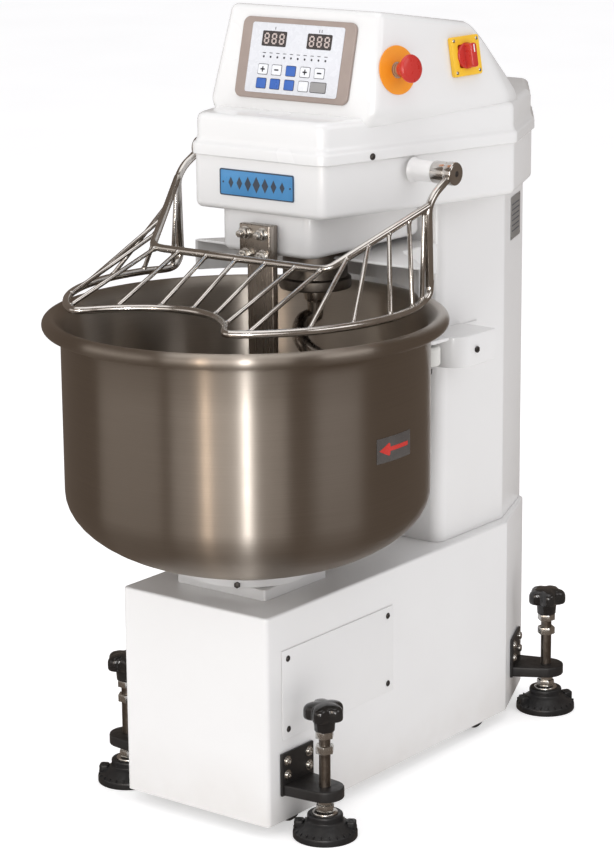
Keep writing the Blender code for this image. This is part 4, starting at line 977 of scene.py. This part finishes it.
def build_controls():
    stop = side_frame(ESTOP_Y, ESTOP_Z)
    ring = lathe(eased([(0.0125, 0.0003), (0.037, 0.0003), (0.037, 0.0022), (0.0125, 0.0022)], 0.0005),
        72)
    piece("stop_ring", along(ring, stop), "frame", ["orange"], "yellow_plastic", "estop_ring")
    collar = lathe(eased([(0, 0.0036), (0.0105, 0.0036), (0.0105, -0.020), (0, -0.020)], 0.0006), 32)
    piece("stop_collar", along(collar, stop), "frame", ["collar"], "black_plastic", "estop_block")
    profile = [(0, 0.0366), (0.0140, 0.0361), (0.0196, 0.0350), (0.0218, 0.0318), (0.0208, 0.0280),
        (0.0176, 0.0242)]
    profile += [(0.0150, 0.0205), (0.0128, 0.0150), (0.0112, 0.0100), (0, 0.0098)]
    button = along(lathe(eased(profile, 0.0016, 4), 48), stop)
    stem = along(lathe(eased([(0, 0.0110), (0.0088, 0.0108), (0.0088, 0.0045), (0.0064, 0.0040),
        (0.0064, -0.008), (0, -0.008)], 0.0006), 28), stop)
    piece("stop_button", [(button, 0), (stem, 1)], "estop_button", ["red", "collar"], "red_plastic",
        "estop_button", sharp=60)
    switch = side_frame(SWITCH_Y, SWITCH_Z)
    square = rectangle(0.030, 0.0305, 0.004, steps=7)
    circle = [(0.0235 * math.cos(math.atan2(y, x)), 0.0235 * math.sin(math.atan2(y, x))) for x,
        y in square]
    sides = [level(square, 0.0003), level(square, 0.0062), level(offset(square, -0.0006), 0.0072),
        level(offset(square, -0.0018), 0.0076)]
    hollow = [level([(x * 1.05, y * 1.05) for x, y in circle], 0.0076), level(circle, 0.0070),
        level(circle, 0.0003)]
    plate = loft(sides + hollow, True)
    dial = lathe(eased([(0.0100, 0.0004), (0.0238, 0.0004), (0.0238, 0.0020), (0.0100, 0.0020)],
        0.0003), 48)
    placed = [(along(plate, switch), 0), (along(dial, switch), 0)]
    for i in range(4):
        turn = PI / 4 + PI / 2 * i
        head = moved(screw_head(0.0022, 0.0014),
            (0.0345 * math.cos(turn), 0.0345 * math.sin(turn), 0.0074))
        placed.append((along(head, switch), 1))
    piece("switch_square", placed, "frame", ["yellow", "zinc"], "yellow_plastic", "switch_plate")
    knob = lathe(eased([(0, 0.0105), (0.0190, 0.0105), (0.0202, 0.0085), (0.0205, 0.0028), (0, 0.0028)],
        0.0012), 40)
    grip = slab(rectangle(0.0065, 0.0185, 0.004), 0.0090, 0.0250, 0.0004, 0.0028, 5)
    mark = slab(rectangle(0.0010, 0.0060, 0.0004, (0, 0.0105), 2), 0.0246, 0.0253, 0.0001, 0.0001, 1)
    parts = [(along(knob, switch), 0), (along(grip, switch), 0), (along(mark, switch), 1)]
    piece("switch_grip", parts, "switch_knob", ["red", "key_white"], "red_plastic", "switch_knob")


# ---------------------------------------------------------------- bowl

def bowl_profile():
    shoulder = BOWL_LOW.z + DISH_DEPTH
    outer, inner, rim = [], [], []
    steps = 16
    for i in range(steps + 1):
        turn = PI / 2 * (1 - i / steps)
        outer.append((WALL_RADIUS - DISH_REACH + DISH_REACH * math.cos(turn),
            shoulder - DISH_DEPTH * math.sin(turn)))
        back = PI / 2 * i / steps
        inner.append((
            WALL_RADIUS - BOWL_SHEET - DISH_REACH + DISH_REACH * math.cos(back),
            shoulder - (DISH_DEPTH - BOWL_SHEET) * math.sin(back),
        ))
    for i in range(19):
        turn = math.radians(-152 + 304 * i / 18)
        rim.append((RIM_RADIUS + RIM_TUBE * math.cos(turn), RIM_Z + RIM_TUBE * math.sin(turn)))
    walls = [(WALL_RADIUS, shoulder + (RIM_Z - 0.022 - shoulder) * i / 4) for i in range(1, 5)]
    return [(0, BOWL_LOW.z)] + outer + walls + rim + [(WALL_RADIUS - BOWL_SHEET,
        RIM_Z - 0.004)] + inner + [(0, BOWL_LOW.z + BOWL_SHEET)]


def build_bowl():
    shell = moved(lathe(bowl_profile(), 128), (0, BOWL_Y, 0))
    piece("bowl_spun", shell, "bowl", ["bowl"], "bowl_steel", "bowl", sharp=50)
    build_arrow()
    bottom, top, radius = TABLE_LOW.z, TABLE_HIGH.z, TABLE_HIGH.x
    disc = moved(lathe(eased([(0, top), (radius, top), (radius, bottom), (0, bottom)], 0.0015), 96),
        (0, BOWL_Y, 0))
    parts = [(disc, 0)]
    for i in range(4):
        turn = math.radians(-62 + 90 * i)
        bolt = hex_nut(0.0052, -0.0004, 0.0035)
        place = (math.cos(turn) * (radius - 0.0004), BOWL_Y + math.sin(turn) * (radius - 0.0004),
            bottom + 0.0048)
        parts.append((moved(bolt, place, Matrix.Rotation(turn, 4, "Z") @ X_OUT), 1))
    piece("turntable_disc", parts, "bowl", ["paint", "dark_steel"], "white_paint", "turntable")


def build_arrow():
    """Thin sticker wrapped on the wall: a red arrow that shows which way the bowl turns."""
    middle, half_turn, height = math.radians(-0.7), math.radians(8.4), 0.038
    centre_z = 0.613

    def on_wall(share_x, share_y, lift):
        turn = middle + half_turn * share_x
        radius = WALL_RADIUS + lift
        return (radius * math.cos(turn), BOWL_Y + radius * math.sin(turn),
            centre_z + height / 2 * share_y)

    def patch(shape, lift):
        """A strip of (along, lower, upper) stations wrapped on the wall."""
        rings = []
        for along_share, lower, upper in shape:
            rings.append([on_wall(along_share, lower, 0.0001), on_wall(along_share, lower, lift),
                on_wall(along_share, upper, lift), on_wall(along_share, upper, 0.0001)])
        return loft(rings)

    backing = [(-1 + 0.125 * i, -1, 1) for i in range(17)]
    head = [(-0.86, -0.02, 0.02), (-0.60, -0.28, 0.28), (-0.36, -0.52, 0.52), (-0.30, -0.44, 0.44),
        (-0.28, -0.17, 0.17)]
    shaft = [(-0.20 + 0.145 * i, -0.17, 0.17) for i in range(8)]
    parts = [(patch(backing, 0.0004), 0), (patch(head + shaft, 0.0006), 1)]
    piece("turn_arrow", parts, "bowl", ["sticker", "red"], "bowl_steel")


# ---------------------------------------------------------------- spiral, bearing and breaker bar

def spiral_path():
    points = [(0, 0, 0.800), (0, 0, 0.785), (0, 0, 0.768), (0, 0, 0.752)]
    turns, steps = 1.45, 90
    start = math.radians(-150)
    for i in range(1, steps + 1):
        part = i / steps
        opening = min(part / 0.22, 1.0)
        opening = opening * opening * (3 - 2 * opening)
        height = 0.748 - 0.016 * opening - 0.282 * max(part - 0.08, 0) / 0.92
        reach = 0.078 - max(0.530 - height, 0.0) * 0.50
        turn = start + 2 * PI * turns * part
        points.append((reach * opening * math.cos(turn), reach * opening * math.sin(turn), height))
    return points


def build_spiral():
    path = spiral_path()
    sizes = [0.0125] * len(path)
    for i in range(8):
        sizes[-1 - i] = 0.0125 - 0.0062 * (1 - i / 8) ** 2
    hook = sweep(path, sizes, 20)
    stem_profile = [(0, 0.770), (0.0140, 0.770), (0.0170, 0.776), (0.0170, 1.0010), (0, 1.0010)]
    stem = lathe(eased(stem_profile, 0.0020), 36)
    collar = lathe(eased([(0.0150, 0.7745), (0.0174, 0.7745), (0.0174, 0.7900), (0.0150, 0.7900)],
        0.0008), 36)
    parts = [(moved(bm, (0, SPIRAL_Y, 0)), 0) for bm in (hook, stem, collar)]
    piece("spiral_tool", parts, "spiral", ["tool"], "tool_steel", "spiral_hook")
    low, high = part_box("spiral_bearing")
    flange = high.x
    profile = [(0.0176, low.z), (flange - 0.0010, low.z), (flange, low.z + 0.0020),
        (flange, low.z + 0.016), (0.0510, low.z + 0.018)]
    profile += [(0.0510, high.z), (0.0176, high.z)]
    parts = [(moved(lathe(eased(profile, 0.0012), 64), (0, SPIRAL_Y, 0)), 0)]
    for i in range(6):
        turn = PI / 3 * i + PI / 6
        place = (0.043 * math.cos(turn), SPIRAL_Y + 0.043 * math.sin(turn), low.z + 0.0004)
        parts.append((moved(screw_head(0.0042, 0.0016), place, Matrix.Rotation(PI, 4, "X")), 1))
    piece("bearing_flange", parts, "frame", ["bearing", "zinc"], "dark_steel", "spiral_bearing")


def build_breaker():
    low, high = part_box("breaker_bar")
    piece("breaker_flat", block(low, high, 0.0018), "frame", ["tool"], "tool_steel", "breaker_bar")
    clamp_low, clamp_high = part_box("breaker_clamp")
    face = clamp_low.y + 0.019
    parts = [(block((clamp_low.x, face, clamp_low.z), (clamp_high.x, clamp_high.y, clamp_high.z),
        0.0016), 0)]
    middle = (clamp_low.z + clamp_high.z) / 2
    for x in (-0.0165, 0.0165):
        for z in (middle - 0.017, middle + 0.017):
            washer = lathe(eased([(0, 0.0016), (0.0105, 0.0016), (0.0105, 0), (0, 0)], 0.0003), 28)
            shank = lathe(eased([(0, 0.0190), (0.0046, 0.0186), (0.0052, 0.0176), (0.0052, 0.0060),
                (0, 0.0060)], 0.0006), 20)
            for bm, look in ((washer, 1), (hex_nut(0.0090, 0.0014, 0.0098), 1), (shank, 1)):
                parts.append((moved(bm, (x, face, z), FRONT_OUT), look))
    piece("clamp_block", parts, "frame", ["clamp", "zinc"], "tool_steel", "breaker_clamp")


# ---------------------------------------------------------------- guard

def rail_point(angle):
    turn = math.radians(angle)
    return (RAIL_RADIUS * math.cos(turn), BOWL_Y + RAIL_RADIUS * math.sin(turn), RAIL_Z)


def scallop_y(x):
    return BOWL_Y - 0.130 - 0.080 * (x / 0.131) ** 2


def both_sides(right, middle=()):
    return right + list(middle) + [(-x, y, z) for x, y, z in reversed(right)]


def build_guard():
    """Welded wire guard: lower rail round the rim, upper rail, legs, bars and hubs."""
    right = [(GUARD_HALF, BOWL_Y + 0.141, RAIL_Z + 0.030),
        (GUARD_HALF + 0.0012, BOWL_Y + 0.135, RAIL_Z + 0.010)]
    right += [rail_point(angle) for angle in (25, 15, 3, -9, -21, -33, -45, -53)]
    right += [(0.1470, BOWL_Y - 0.2255, RAIL_Z), (0.1340, BOWL_Y - 0.2160, RAIL_Z)]
    right += [(x, scallop_y(x), RAIL_Z) for x in (0.118, 0.098, 0.074, 0.050, 0.025)]
    lower = sweep(flowing(both_sides(right, [(0.0, scallop_y(0), RAIL_Z)]), 5), RAIL_WIRE, 14)
    rail = [tuple(KNEE), tuple(CORNER), (0.150, TOP_RAIL_Y, TOP_RAIL_Z)]
    upper = sweep(filleted(both_sides(rail), 0.016, 8), RAIL_WIRE, 14)
    parts = [(lower, 0), (upper, 0)]
    bars = []
    for x in (0.0, 0.057, 0.113):
        bars.append(((x, TOP_RAIL_Y, TOP_RAIL_Z), (x * 0.93, scallop_y(x * 0.93), RAIL_Z)))
    bars.append(((0.160, TOP_RAIL_Y + 0.0005, TOP_RAIL_Z), rail_point(-51)))
    for share, angle in ((0.19, -32), (0.40, -16.5), (0.60, 0), (0.80, 14.5), (0.955, 26.0)):
        bars.append((tuple(CORNER.lerp(KNEE, share)), rail_point(angle)))
    for top, foot in bars:
        for side in (1, -1) if top[0] > 0.001 else (1,):
            start, stop = Vector((side * top[0], top[1], top[2])), Vector((side * foot[0], foot[1],
                foot[2]))
            run = (stop - start).normalized()
            parts.append((sweep([start, stop], BAR_WIRE, 12), 0))
            for end, way in ((start, 1), (stop, -1)):
                weld = [end + run * (way * 0.0030), end + run * (way * 0.0062),
                    end + run * (way * 0.0090)]
                parts.append((sweep(weld, [0.0050, 0.0046, 0.0037], 10), 0))
    for side in (-1, 1):
        x = side * GUARD_HALF
        arm = [(x, HUB_Y, HUB_Z), (x, BOWL_Y + 0.152, 0.967), (x, BOWL_Y + 0.135, 0.948),
            (x, BOWL_Y + 0.139, RAIL_Z + 0.022)]
        parts.append((sweep(filleted(arm, 0.014, 8), RAIL_WIRE * 1.06, 14), 0))
        profile = [(0, 0.0085), (0.0160, 0.0085), (0.0180, 0.0065), (0.0180, -0.0065), (0, -0.0065)]
        turn = Matrix.Rotation(side * PI / 2, 4, "Y")
        parts.append((moved(lathe(eased(profile, 0.0014), 40), (x, HUB_Y, HUB_Z), turn), 0))
        # Dark steel disc on the hub's end face: painted shade of the dimple's hollow
        dimple = lathe(eased([(0, 0.0092), (0.0040, 0.0092), (0.0052, 0.0080), (0, 0.0080)], 0.0005),
            20)
        parts.append((moved(dimple, (x, HUB_Y, HUB_Z), turn), 1))
    piece("guard_wire", parts, "guard", ["wire", "dark_steel"], "guard_steel", "guard", sharp=50)
    for word in ("left", "right"):
        low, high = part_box("guard_boss_" + word)
        stop, centre = (high.x - low.x) / 2, (low + high) / 2
        sleeve = [(0, stop - 0.024), (0.0172, stop - 0.024), (0.0172, stop), (0, stop)]
        casting = [(0, -stop), (0.0205, -stop), (0.0176, -stop + 0.005), (0.0165, -stop + 0.012),
            (0.0160, stop - 0.0235), (0, stop - 0.0235)]
        turn = Matrix.Rotation(PI / 2 if word == "right" else -PI / 2, 4, "Y")
        parts = [(moved(lathe(eased(sleeve, 0.0010), 48), centre, turn), 0)]
        parts.append((moved(lathe(eased(casting, 0.0050, 6), 48), centre, turn), 1))
        piece("hinge_boss_" + word, parts, "frame", ["wire", "paint"], "guard_steel",
            "guard_boss_" + word)


# ---------------------------------------------------------------- rollers, feet, wheels and cable gland

def build_rollers():
    for side, word in ((1, "right"), (-1, "left")):
        low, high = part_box("roller_bracket_" + word)
        roller_low, roller_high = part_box("guide_roller_" + word)
        x, y = (roller_low.x + roller_high.x) / 2, (roller_low.y + roller_high.y) / 2
        wall = COLUMN_HIGH.x + 0.0003
        outer = max(abs(low.x), abs(high.x))
        flip = Matrix.Scale(side, 4, (1, 0, 0))

        def sided(first, second, edge):
            return along(block(first, second, edge), flip)

        front, rear, bend = BOWL_Y + 0.296, BOWL_Y + 0.400, 0.034
        plan = [(wall, rear), (wall, front)]
        for i in range(13):
            turn = -PI / 2 + PI / 2 * i / 12
            plan.append((outer - bend + bend * math.cos(turn), front + bend + bend * math.sin(turn)))
        plan.append((outer, rear))
        parts = [(along(slab(plan, low.z, high.z, 0.0020, 0.0030, 4), flip), 0)]
        parts.append((sided((abs(x) - 0.014, y, high.z - 0.006),
            (abs(x) + 0.014, BOWL_Y + 0.330, high.z - 0.0006), 0.0012), 0))
        tip = [(0, high.z), (0.014, high.z), (0.014, high.z - 0.006), (0, high.z - 0.006)]
        parts.append((moved(lathe(eased(tip, 0.0010), 32), (x, y, 0)), 0))
        parts.append((moved(hex_nut(0.0078, 0.0, 0.0075), (x, y, low.z - 0.0035)), 1))
        pin = [(0, high.z - 0.003), (0.005, high.z - 0.003), (0.005, low.z + 0.003), (0, low.z + 0.003)]
        parts.append((moved(lathe(eased(pin, 0.0006), 20), (x, y, 0)), 1))
        parts.append((sided((wall, BOWL_Y + 0.395, 0.664), (wall + 0.0026, BOWL_Y + 0.445, 0.709),
            0.0008), 0))
        turn = Matrix.Rotation(side * PI / 2, 4, "Y")
        bolt_x = side * (wall + 0.0022)
        washer = lathe(eased([(0, 0.0012), (0.0085, 0.0012), (0.0085, 0), (0, 0)], 0.0003), 24)
        for bm, lift in ((washer, 0.0), (hex_nut(0.0065, 0.0010, 0.0062), 0.0)):
            parts.append((moved(bm, (bolt_x + side * lift, BOWL_Y + 0.428, 0.688), turn), 1))
        lock = moved(hex_nut(0.0055, 0.0, 0.0040), (side * (outer - 0.0005), BOWL_Y + 0.345, 0.6865),
            turn)
        parts.append((lock, 1))
        piece("roller_arm_" + word, parts, "frame", ["paint", "dark_steel"], "white_paint",
            "roller_bracket_" + word)
        bottom, top = roller_low.z, roller_high.z
        profile = [(0.0054, bottom), (0.0180, bottom), (0.0200, bottom + 0.003), (0.0200, top - 0.003),
            (0.0180, top), (0.0054, top)]
        wheel = moved(lathe(eased(profile, 0.0008) + [(0.0054, top)], 48), (x, y, 0))
        piece("rim_roller_" + word, wheel, "guide_roller_" + word, ["nylon"], "nylon",
            "guide_roller_" + word)


def foot_frames():
    """Frames on the base wall: local X runs out from it, local Z is up."""
    frames = {}
    for side, word in ((1, "right"), (-1, "left")):
        turn = Matrix.Rotation(0 if side > 0 else PI, 4, "Z")
        frames["front_" + word] = Matrix.Translation((side * BASE_HIGH.x, FOOT_Y, 0)) @ turn
        middle = Vector((BASE_HIGH.x + BASE_REAR_HALF, BASE_SIDE_END + BASE_HIGH.y)) / 2
        lean = math.atan2(BASE_HIGH.x - BASE_REAR_HALF, BASE_HIGH.y - BASE_SIDE_END)
        turn = Matrix.Rotation(lean if side > 0 else PI - lean, 4, "Z")
        frames["rear_" + word] = Matrix.Translation((side * middle.x, middle.y, 0)) @ turn
    return frames


KNOB_LEVELS = (
    (0.62, 0.1890), (0.82, 0.1894), (0.94, 0.1908), (0.99, 0.1930), (1.0, 0.1960), (1.0, 0.2030),
    (0.985, 0.2062), (0.94, 0.2092), (0.84, 0.2122), (0.66, 0.2144), (0.42, 0.2156), (0.18, 0.2160),
)


def star_outline(scale):
    points = []
    for i in range(80):
        turn = 2 * PI * i / 80
        radius = (0.0288 + 0.0042 * math.cos(5 * turn) - 0.0007 * math.cos(10 * turn)) * scale
        points.append((radius * math.cos(turn), radius * math.sin(turn)))
    return points


def build_feet():
    for corner, wall in foot_frames().items():
        build_foot_bracket(corner, wall)
        place = wall @ Matrix.Translation((FOOT_OFFSET, 0, 0))
        build_foot(corner, place)


def build_foot_bracket(corner, wall):
    parts = [(block((0.0003, -0.040, LEDGE_BOTTOM - 0.0005), (0.0050, 0.040, 0.131), 0.0012), 0)]
    ledge = [(0.001, -0.036), (FOOT_OFFSET, -0.030)]
    for i in range(1, 12):
        turn = -PI / 2 + PI * i / 12
        ledge.append((FOOT_OFFSET + 0.030 * math.cos(turn), 0.030 * math.sin(turn)))
    ledge += [(FOOT_OFFSET, 0.030), (0.001, 0.036)]
    parts.append((slab(ledge, LEDGE_BOTTOM, LEDGE_TOP, 0.0020, 0.0028, 4), 0))
    for y in (-0.027, 0.027):
        for z in (0.0955, 0.1180):
            washer = lathe(eased([(0, 0.0012), (0.0082, 0.0012), (0.0082, 0), (0, 0)], 0.0003), 28)
            dome = [(0, 0.0016), (0.0020, 0.0020), (0.0024, 0.0046), (0.0042, 0.0050), (0.0058, 0.0040),
                (0.0066, 0.0022), (0.0066, 0.0008), (0, 0.0008)]
            for bm in (washer, lathe(eased(dome, 0.0006), 28)):
                parts.append((moved(bm, (0.0048, y, z), X_OUT), 1))
    placed = [(along(bm, wall), index) for bm, index in parts]
    piece("foot_angle_" + corner, placed, "frame", ["bracket", "zinc"], "dark_steel",
        "foot_bracket_" + corner)


def build_foot(corner, place):
    """Bell pad with two ears, cup, threaded spindle with nuts, and a five-lobed knob."""
    body = "foot_" + corner
    pad = [(0, 0), (0.0496, 0), (0.0500, 0.0010), (0.0500, 0.0085), (0.0492, 0.0110), (0.0460, 0.0138),
        (0.0400, 0.0180)]
    pad += [(0.0325, 0.0236), (0.0290, 0.0256), (0.0275, 0.0272), (0.0278, 0.0350), (0.0268, 0.0376),
        (0.0236, 0.0386), (0.0190, 0.0372), (0, 0.0372)]
    parts = [(lathe(eased(pad, 0.0014), 64), 0)]
    for turn in (math.radians(32), math.radians(212)):
        ear = slab(rectangle(0.0080, 0.0095, 0.0050, (0.0398, 0)), 0.0080, 0.0262, 0.0006, 0.0030, 5)
        parts.append((along(ear, Matrix.Rotation(turn, 4, "Z")), 0))
        dimple = lathe(eased([(0.0026, 0.0268), (0.0044, 0.0268), (0.0044, 0.0255), (0.0026, 0.0255)],
            0.0003), 20)
        parts.append((moved(dimple, (0.0395 * math.cos(turn), 0.0395 * math.sin(turn), 0)), 0))
    for i in range(24):
        turn = 2 * PI * i / 24
        rib = slab(rectangle(0.0038, 0.0009, 0.0004, (0.0455, 0), 1), 0.0105, 0.0150, 0.0003, 0.0005, 1)
        parts.append((along(rib, Matrix.Rotation(turn, 4, "Z")), 0))
    placed = [(along(bm, place), index) for bm, index in parts]
    piece(body + "_pad", placed, body, ["foot"], "foot_black", body)
    build_spindle(body, place)
    rings = []
    for scale, height in KNOB_LEVELS:
        rings.append(level(star_outline(scale), height))
    neck = lathe(eased([(0, 0.1705), (0.0150, 0.1705), (0.0158, 0.1720), (0.0172, 0.1935), (0, 0.1935)],
        0.0010), 36)
    placed = [(along(bm, place), 0) for bm in (loft(rings), neck)]
    piece(body + "_knob", placed, body, ["knob"], "foot_black", sharp=60)


def build_spindle(body, place):
    """Threaded rod with one nut in the cup, one above the ledge and one under the knob."""
    pitch, top, bottom = 0.0020, 0.1700, 0.0400
    thread = [(0, top + 0.002), (0.0080, top + 0.002)]
    for i in range(int((top - bottom) / pitch)):
        z = top - pitch * i
        thread += [(0.0090, z), (0.0090, z - pitch * 0.30), (0.0082, z - pitch * 0.55),
            (0.0082, z - pitch * 0.85)]
    thread += [(0.0080, bottom - 0.002), (0, bottom - 0.002)]
    cup = lathe(eased([(0, 0.0430), (0.0150, 0.0430), (0.0196, 0.0400), (0.0200, 0.0368), (0, 0.0360)],
        0.0016), 36)
    parts = [(lathe(thread, 28), 0), (cup, 1), (hex_nut(0.0150, 0.0415, 0.0520), 1),
        (hex_nut(0.0125, 0.0520, 0.0625), 1)]
    parts += [(hex_nut(0.0150, 0.1350, 0.1470), 1), (hex_nut(0.0150, 0.1595, 0.1700), 1)]
    placed = [(along(bm, place), index) for bm, index in parts]
    piece(body + "_spindle", placed, body, ["rod", "zinc"], "foot_black", sharp=30)


def build_wheels():
    for corner in CORNERS:
        low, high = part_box("wheel_" + corner)
        centre = (low + high) / 2
        radius, half = (high.z - low.z) / 2, (high.x - low.x) / 2
        tread = [(0.0205, -half), (radius - 0.0025, -half), (radius - 0.0006, -half + 0.0025),
            (radius, -0.003), (radius, 0.003)]
        tread += [(radius - 0.0006, half - 0.0025), (radius - 0.0025, half), (0.0205, half)]
        hub = [(0.0074, -half + 0.002), (0.0120, -half), (0.0150, -half + 0.002),
            (0.0206, -half + 0.003)]
        hub += [(0.0206, half - 0.003), (0.0150, half - 0.002), (0.0120, half), (0.0074, half - 0.002)]
        turn = Matrix.Rotation(PI / 2, 4, "Y")
        parts = [(moved(lathe(tread, 48), centre, turn), 0), (moved(lathe(hub, 40), centre, turn), 1)]
        piece("castor_" + corner, parts, "wheel_" + corner, ["foot", "grey"], "black_plastic",
            "wheel_" + corner)


def build_gland():
    low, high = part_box("cable_gland")
    x, z = (low.x + high.x) / 2, (low.z + high.z) / 2
    y = low.y
    dome = [(0, 0.0218), (0.0052, 0.0216), (0.0075, 0.0208), (0.0100, 0.0176), (0.0104, 0.0150),
        (0.0104, 0.0080), (0, 0.0080)]
    parts = [(hex_nut(0.0130, 0.0002, 0.0070), 0), (lathe(eased(dome, 0.0008), 32), 0)]
    for i in range(12):
        turn = 2 * PI * i / 12
        rib = slab(rectangle(0.0012, 0.0008, 0.0003, (0.0103, 0), 1), 0.0085, 0.0165, 0.0002, 0.0006, 1)
        parts.append((along(rib, Matrix.Rotation(turn, 4, "Z")), 0))
    placed = [(moved(bm, (x, y, z), REAR_OUT), index) for bm, index in parts]
    piece("cable_inlet", placed, "frame", ["black"], "black_plastic", "cable_gland")


# ---------------------------------------------------------------- frame nodes that stay, stage and camera

KEPT = {
    "bowl_shield": "paint",
    "bowl_shaft": "dark_steel",
    "bowl_bearing": "iron",
    "bowl_pulley": "iron",
    "bowl_motor_pulley": "iron",
    "spiral_pulley": "iron",
    "spiral_motor_pulley": "iron",
    "bowl_belt": "belt",
    "spiral_belt": "belt",
    "bowl_motor": "motor",
    "spiral_motor": "motor",
    "control_board": "board",
    "switch_body": "black",
    "electrical_box": "grey",
    "wheel_axle_front": "dark_steel",
    "wheel_axle_rear": "dark_steel",
}


def dress_kept_nodes():
    for name, look in KEPT.items():
        node = frame["nodes"][name]
        node.data.materials.clear()
        node.data.materials.append(LOOKS[look])


def floor_look():
    look = Look("studio_floor", 0.6)
    pale = look.mixed(look.spread(look.noise(1.2), 0.0, 1.0), (0.86, 0.855, 0.85), (0.88, 0.875, 0.87))
    look.colour(pale)
    look.link(pale, look.shader.inputs["Emission Color"])
    look.shader.inputs["Emission Strength"].default_value = 0.54
    return look.material


def build_stage():
    bm = bmesh.new()
    bmesh.ops.create_grid(bm, x_segments=1, y_segments=1, size=14.0)
    mesh = bpy.data.meshes.new("floor")
    bm.to_mesh(mesh)
    bm.free()
    mesh.materials.append(floor_look())
    floor = bpy.data.objects.new("floor", mesh)
    bpy.context.scene.collection.objects.link(floor)
    floor.visible_glossy = False


def area_light(name, azimuth, elevation, distance, width, height, power, colour=(1, 1, 1)):
    """A soft panel that looks at the middle of the machine. Azimuth 0 is the front, 90 the right side."""
    target = Vector((0, 0, 0.65))
    turn, lift = math.radians(azimuth), math.radians(elevation)
    way = Vector((math.sin(turn) * math.cos(lift), -math.cos(turn) * math.cos(lift), math.sin(lift)))
    data = bpy.data.lights.new(name, "AREA")
    data.shape = "RECTANGLE"
    data.size, data.size_y = width, height
    data.energy = power
    data.color = colour
    lamp = bpy.data.objects.new(name, data)
    bpy.context.scene.collection.objects.link(lamp)
    lamp.location = target + way * distance
    lamp.rotation_mode = "QUATERNION"
    lamp.rotation_quaternion = (-way).to_track_quat("-Z", "Y")
    return lamp


def build_lights():
    area_light("key_front", -10, 20, 4.6, 3.4, 2.6, 66, (1.0, 0.99, 0.975)).visible_glossy = False
    area_light("glow_wide", 27, 12, 5.0, 6.6, 2.6, 62, (1.0, 0.965, 0.93)).visible_diffuse = False
    area_light("glow_left", -36, 12, 5.0, 4.2, 2.6, 22, (1.0, 0.96, 0.92)).visible_diffuse = False
    area_light("glow_near", 25, 12, 4.9, 2.6, 2.6, 24, (1.0, 0.955, 0.91)).visible_diffuse = False
    area_light("strip_warm", 14, 10, 4.8, 0.20, 2.2, 15, (1.0, 0.78, 0.58)).visible_diffuse = False
    area_light("strip_camera", 37, 10, 5.4, 0.085, 2.6, 58).visible_diffuse = False
    area_light("fill_right", 96, 30, 4.5, 2.4, 1.6, 22, (1.0, 0.985, 0.985))
    area_light("top_soft", 20, 84, 3.4, 3.0, 3.0, 34)
    world = bpy.data.worlds.new("studio")
    bpy.context.scene.world = world
    world.use_nodes = True
    tree = world.node_tree
    tree.nodes.clear()
    output = tree.nodes.new("ShaderNodeOutputWorld")
    paths = tree.nodes.new("ShaderNodeLightPath")
    seen = tree.nodes.new("ShaderNodeBackground")
    seen.inputs["Color"].default_value = (1.0, 1.0, 1.0, 1.0)
    room = tree.nodes.new("ShaderNodeBackground")
    room.inputs["Color"].default_value = (0.95, 0.96, 1.0, 1.0)
    room.inputs["Strength"].default_value = 0.70
    walls = tree.nodes.new("ShaderNodeBackground")
    walls.inputs["Color"].default_value = (0.175, 0.140, 0.115, 1.0)
    walls.inputs["Strength"].default_value = 1.0
    by_gloss = tree.nodes.new("ShaderNodeMixShader")
    by_camera = tree.nodes.new("ShaderNodeMixShader")
    tree.links.new(paths.outputs["Is Glossy Ray"], by_gloss.inputs[0])
    tree.links.new(room.outputs[0], by_gloss.inputs[1])
    tree.links.new(walls.outputs[0], by_gloss.inputs[2])
    tree.links.new(paths.outputs["Is Camera Ray"], by_camera.inputs[0])
    tree.links.new(by_gloss.outputs[0], by_camera.inputs[1])
    tree.links.new(seen.outputs[0], by_camera.inputs[2])
    tree.links.new(by_camera.outputs[0], output.inputs["Surface"])


def build_camera():
    """Above the head, to the right of the front, through a long lens."""
    azimuth, elevation, roll = math.radians(37.61), math.radians(14.31), math.radians(-0.52)
    target, distance = Vector((0, -0.0504, 0.5563)), 4.3832
    right = Vector((math.cos(azimuth), math.sin(azimuth), 0))
    back = Vector((math.sin(azimuth) * math.cos(elevation), -math.cos(azimuth) * math.cos(elevation),
        math.sin(elevation)))
    up = back.cross(right)
    level_right = right * math.cos(roll) + up * math.sin(roll)
    level_up = up * math.cos(roll) - right * math.sin(roll)
    data = bpy.data.cameras.new("camera")
    data.lens, data.sensor_width, data.sensor_fit = 116.72, 36.0, "AUTO"
    data.shift_x, data.shift_y = 0.0057, 0.0123
    data.clip_end = 60.0
    camera = bpy.data.objects.new("camera", data)
    bpy.context.scene.collection.objects.link(camera)
    camera.matrix_world = frame_on(target + back * distance, level_right, level_up, back)
    bpy.context.scene.camera = camera


bpy.context.scene.view_settings.view_transform = "Standard"
LOOKS = make_looks()
build_base()
build_side_panel()
build_column()
build_rating_plate()
build_head()
build_cover()
build_keypad()
build_nameplate()
build_controls()
build_bowl()
build_spiral()
build_breaker()
build_guard()
build_rollers()
build_feet()
build_wheels()
build_gland()
dress_kept_nodes()
build_stage()
build_lights()
build_camera()
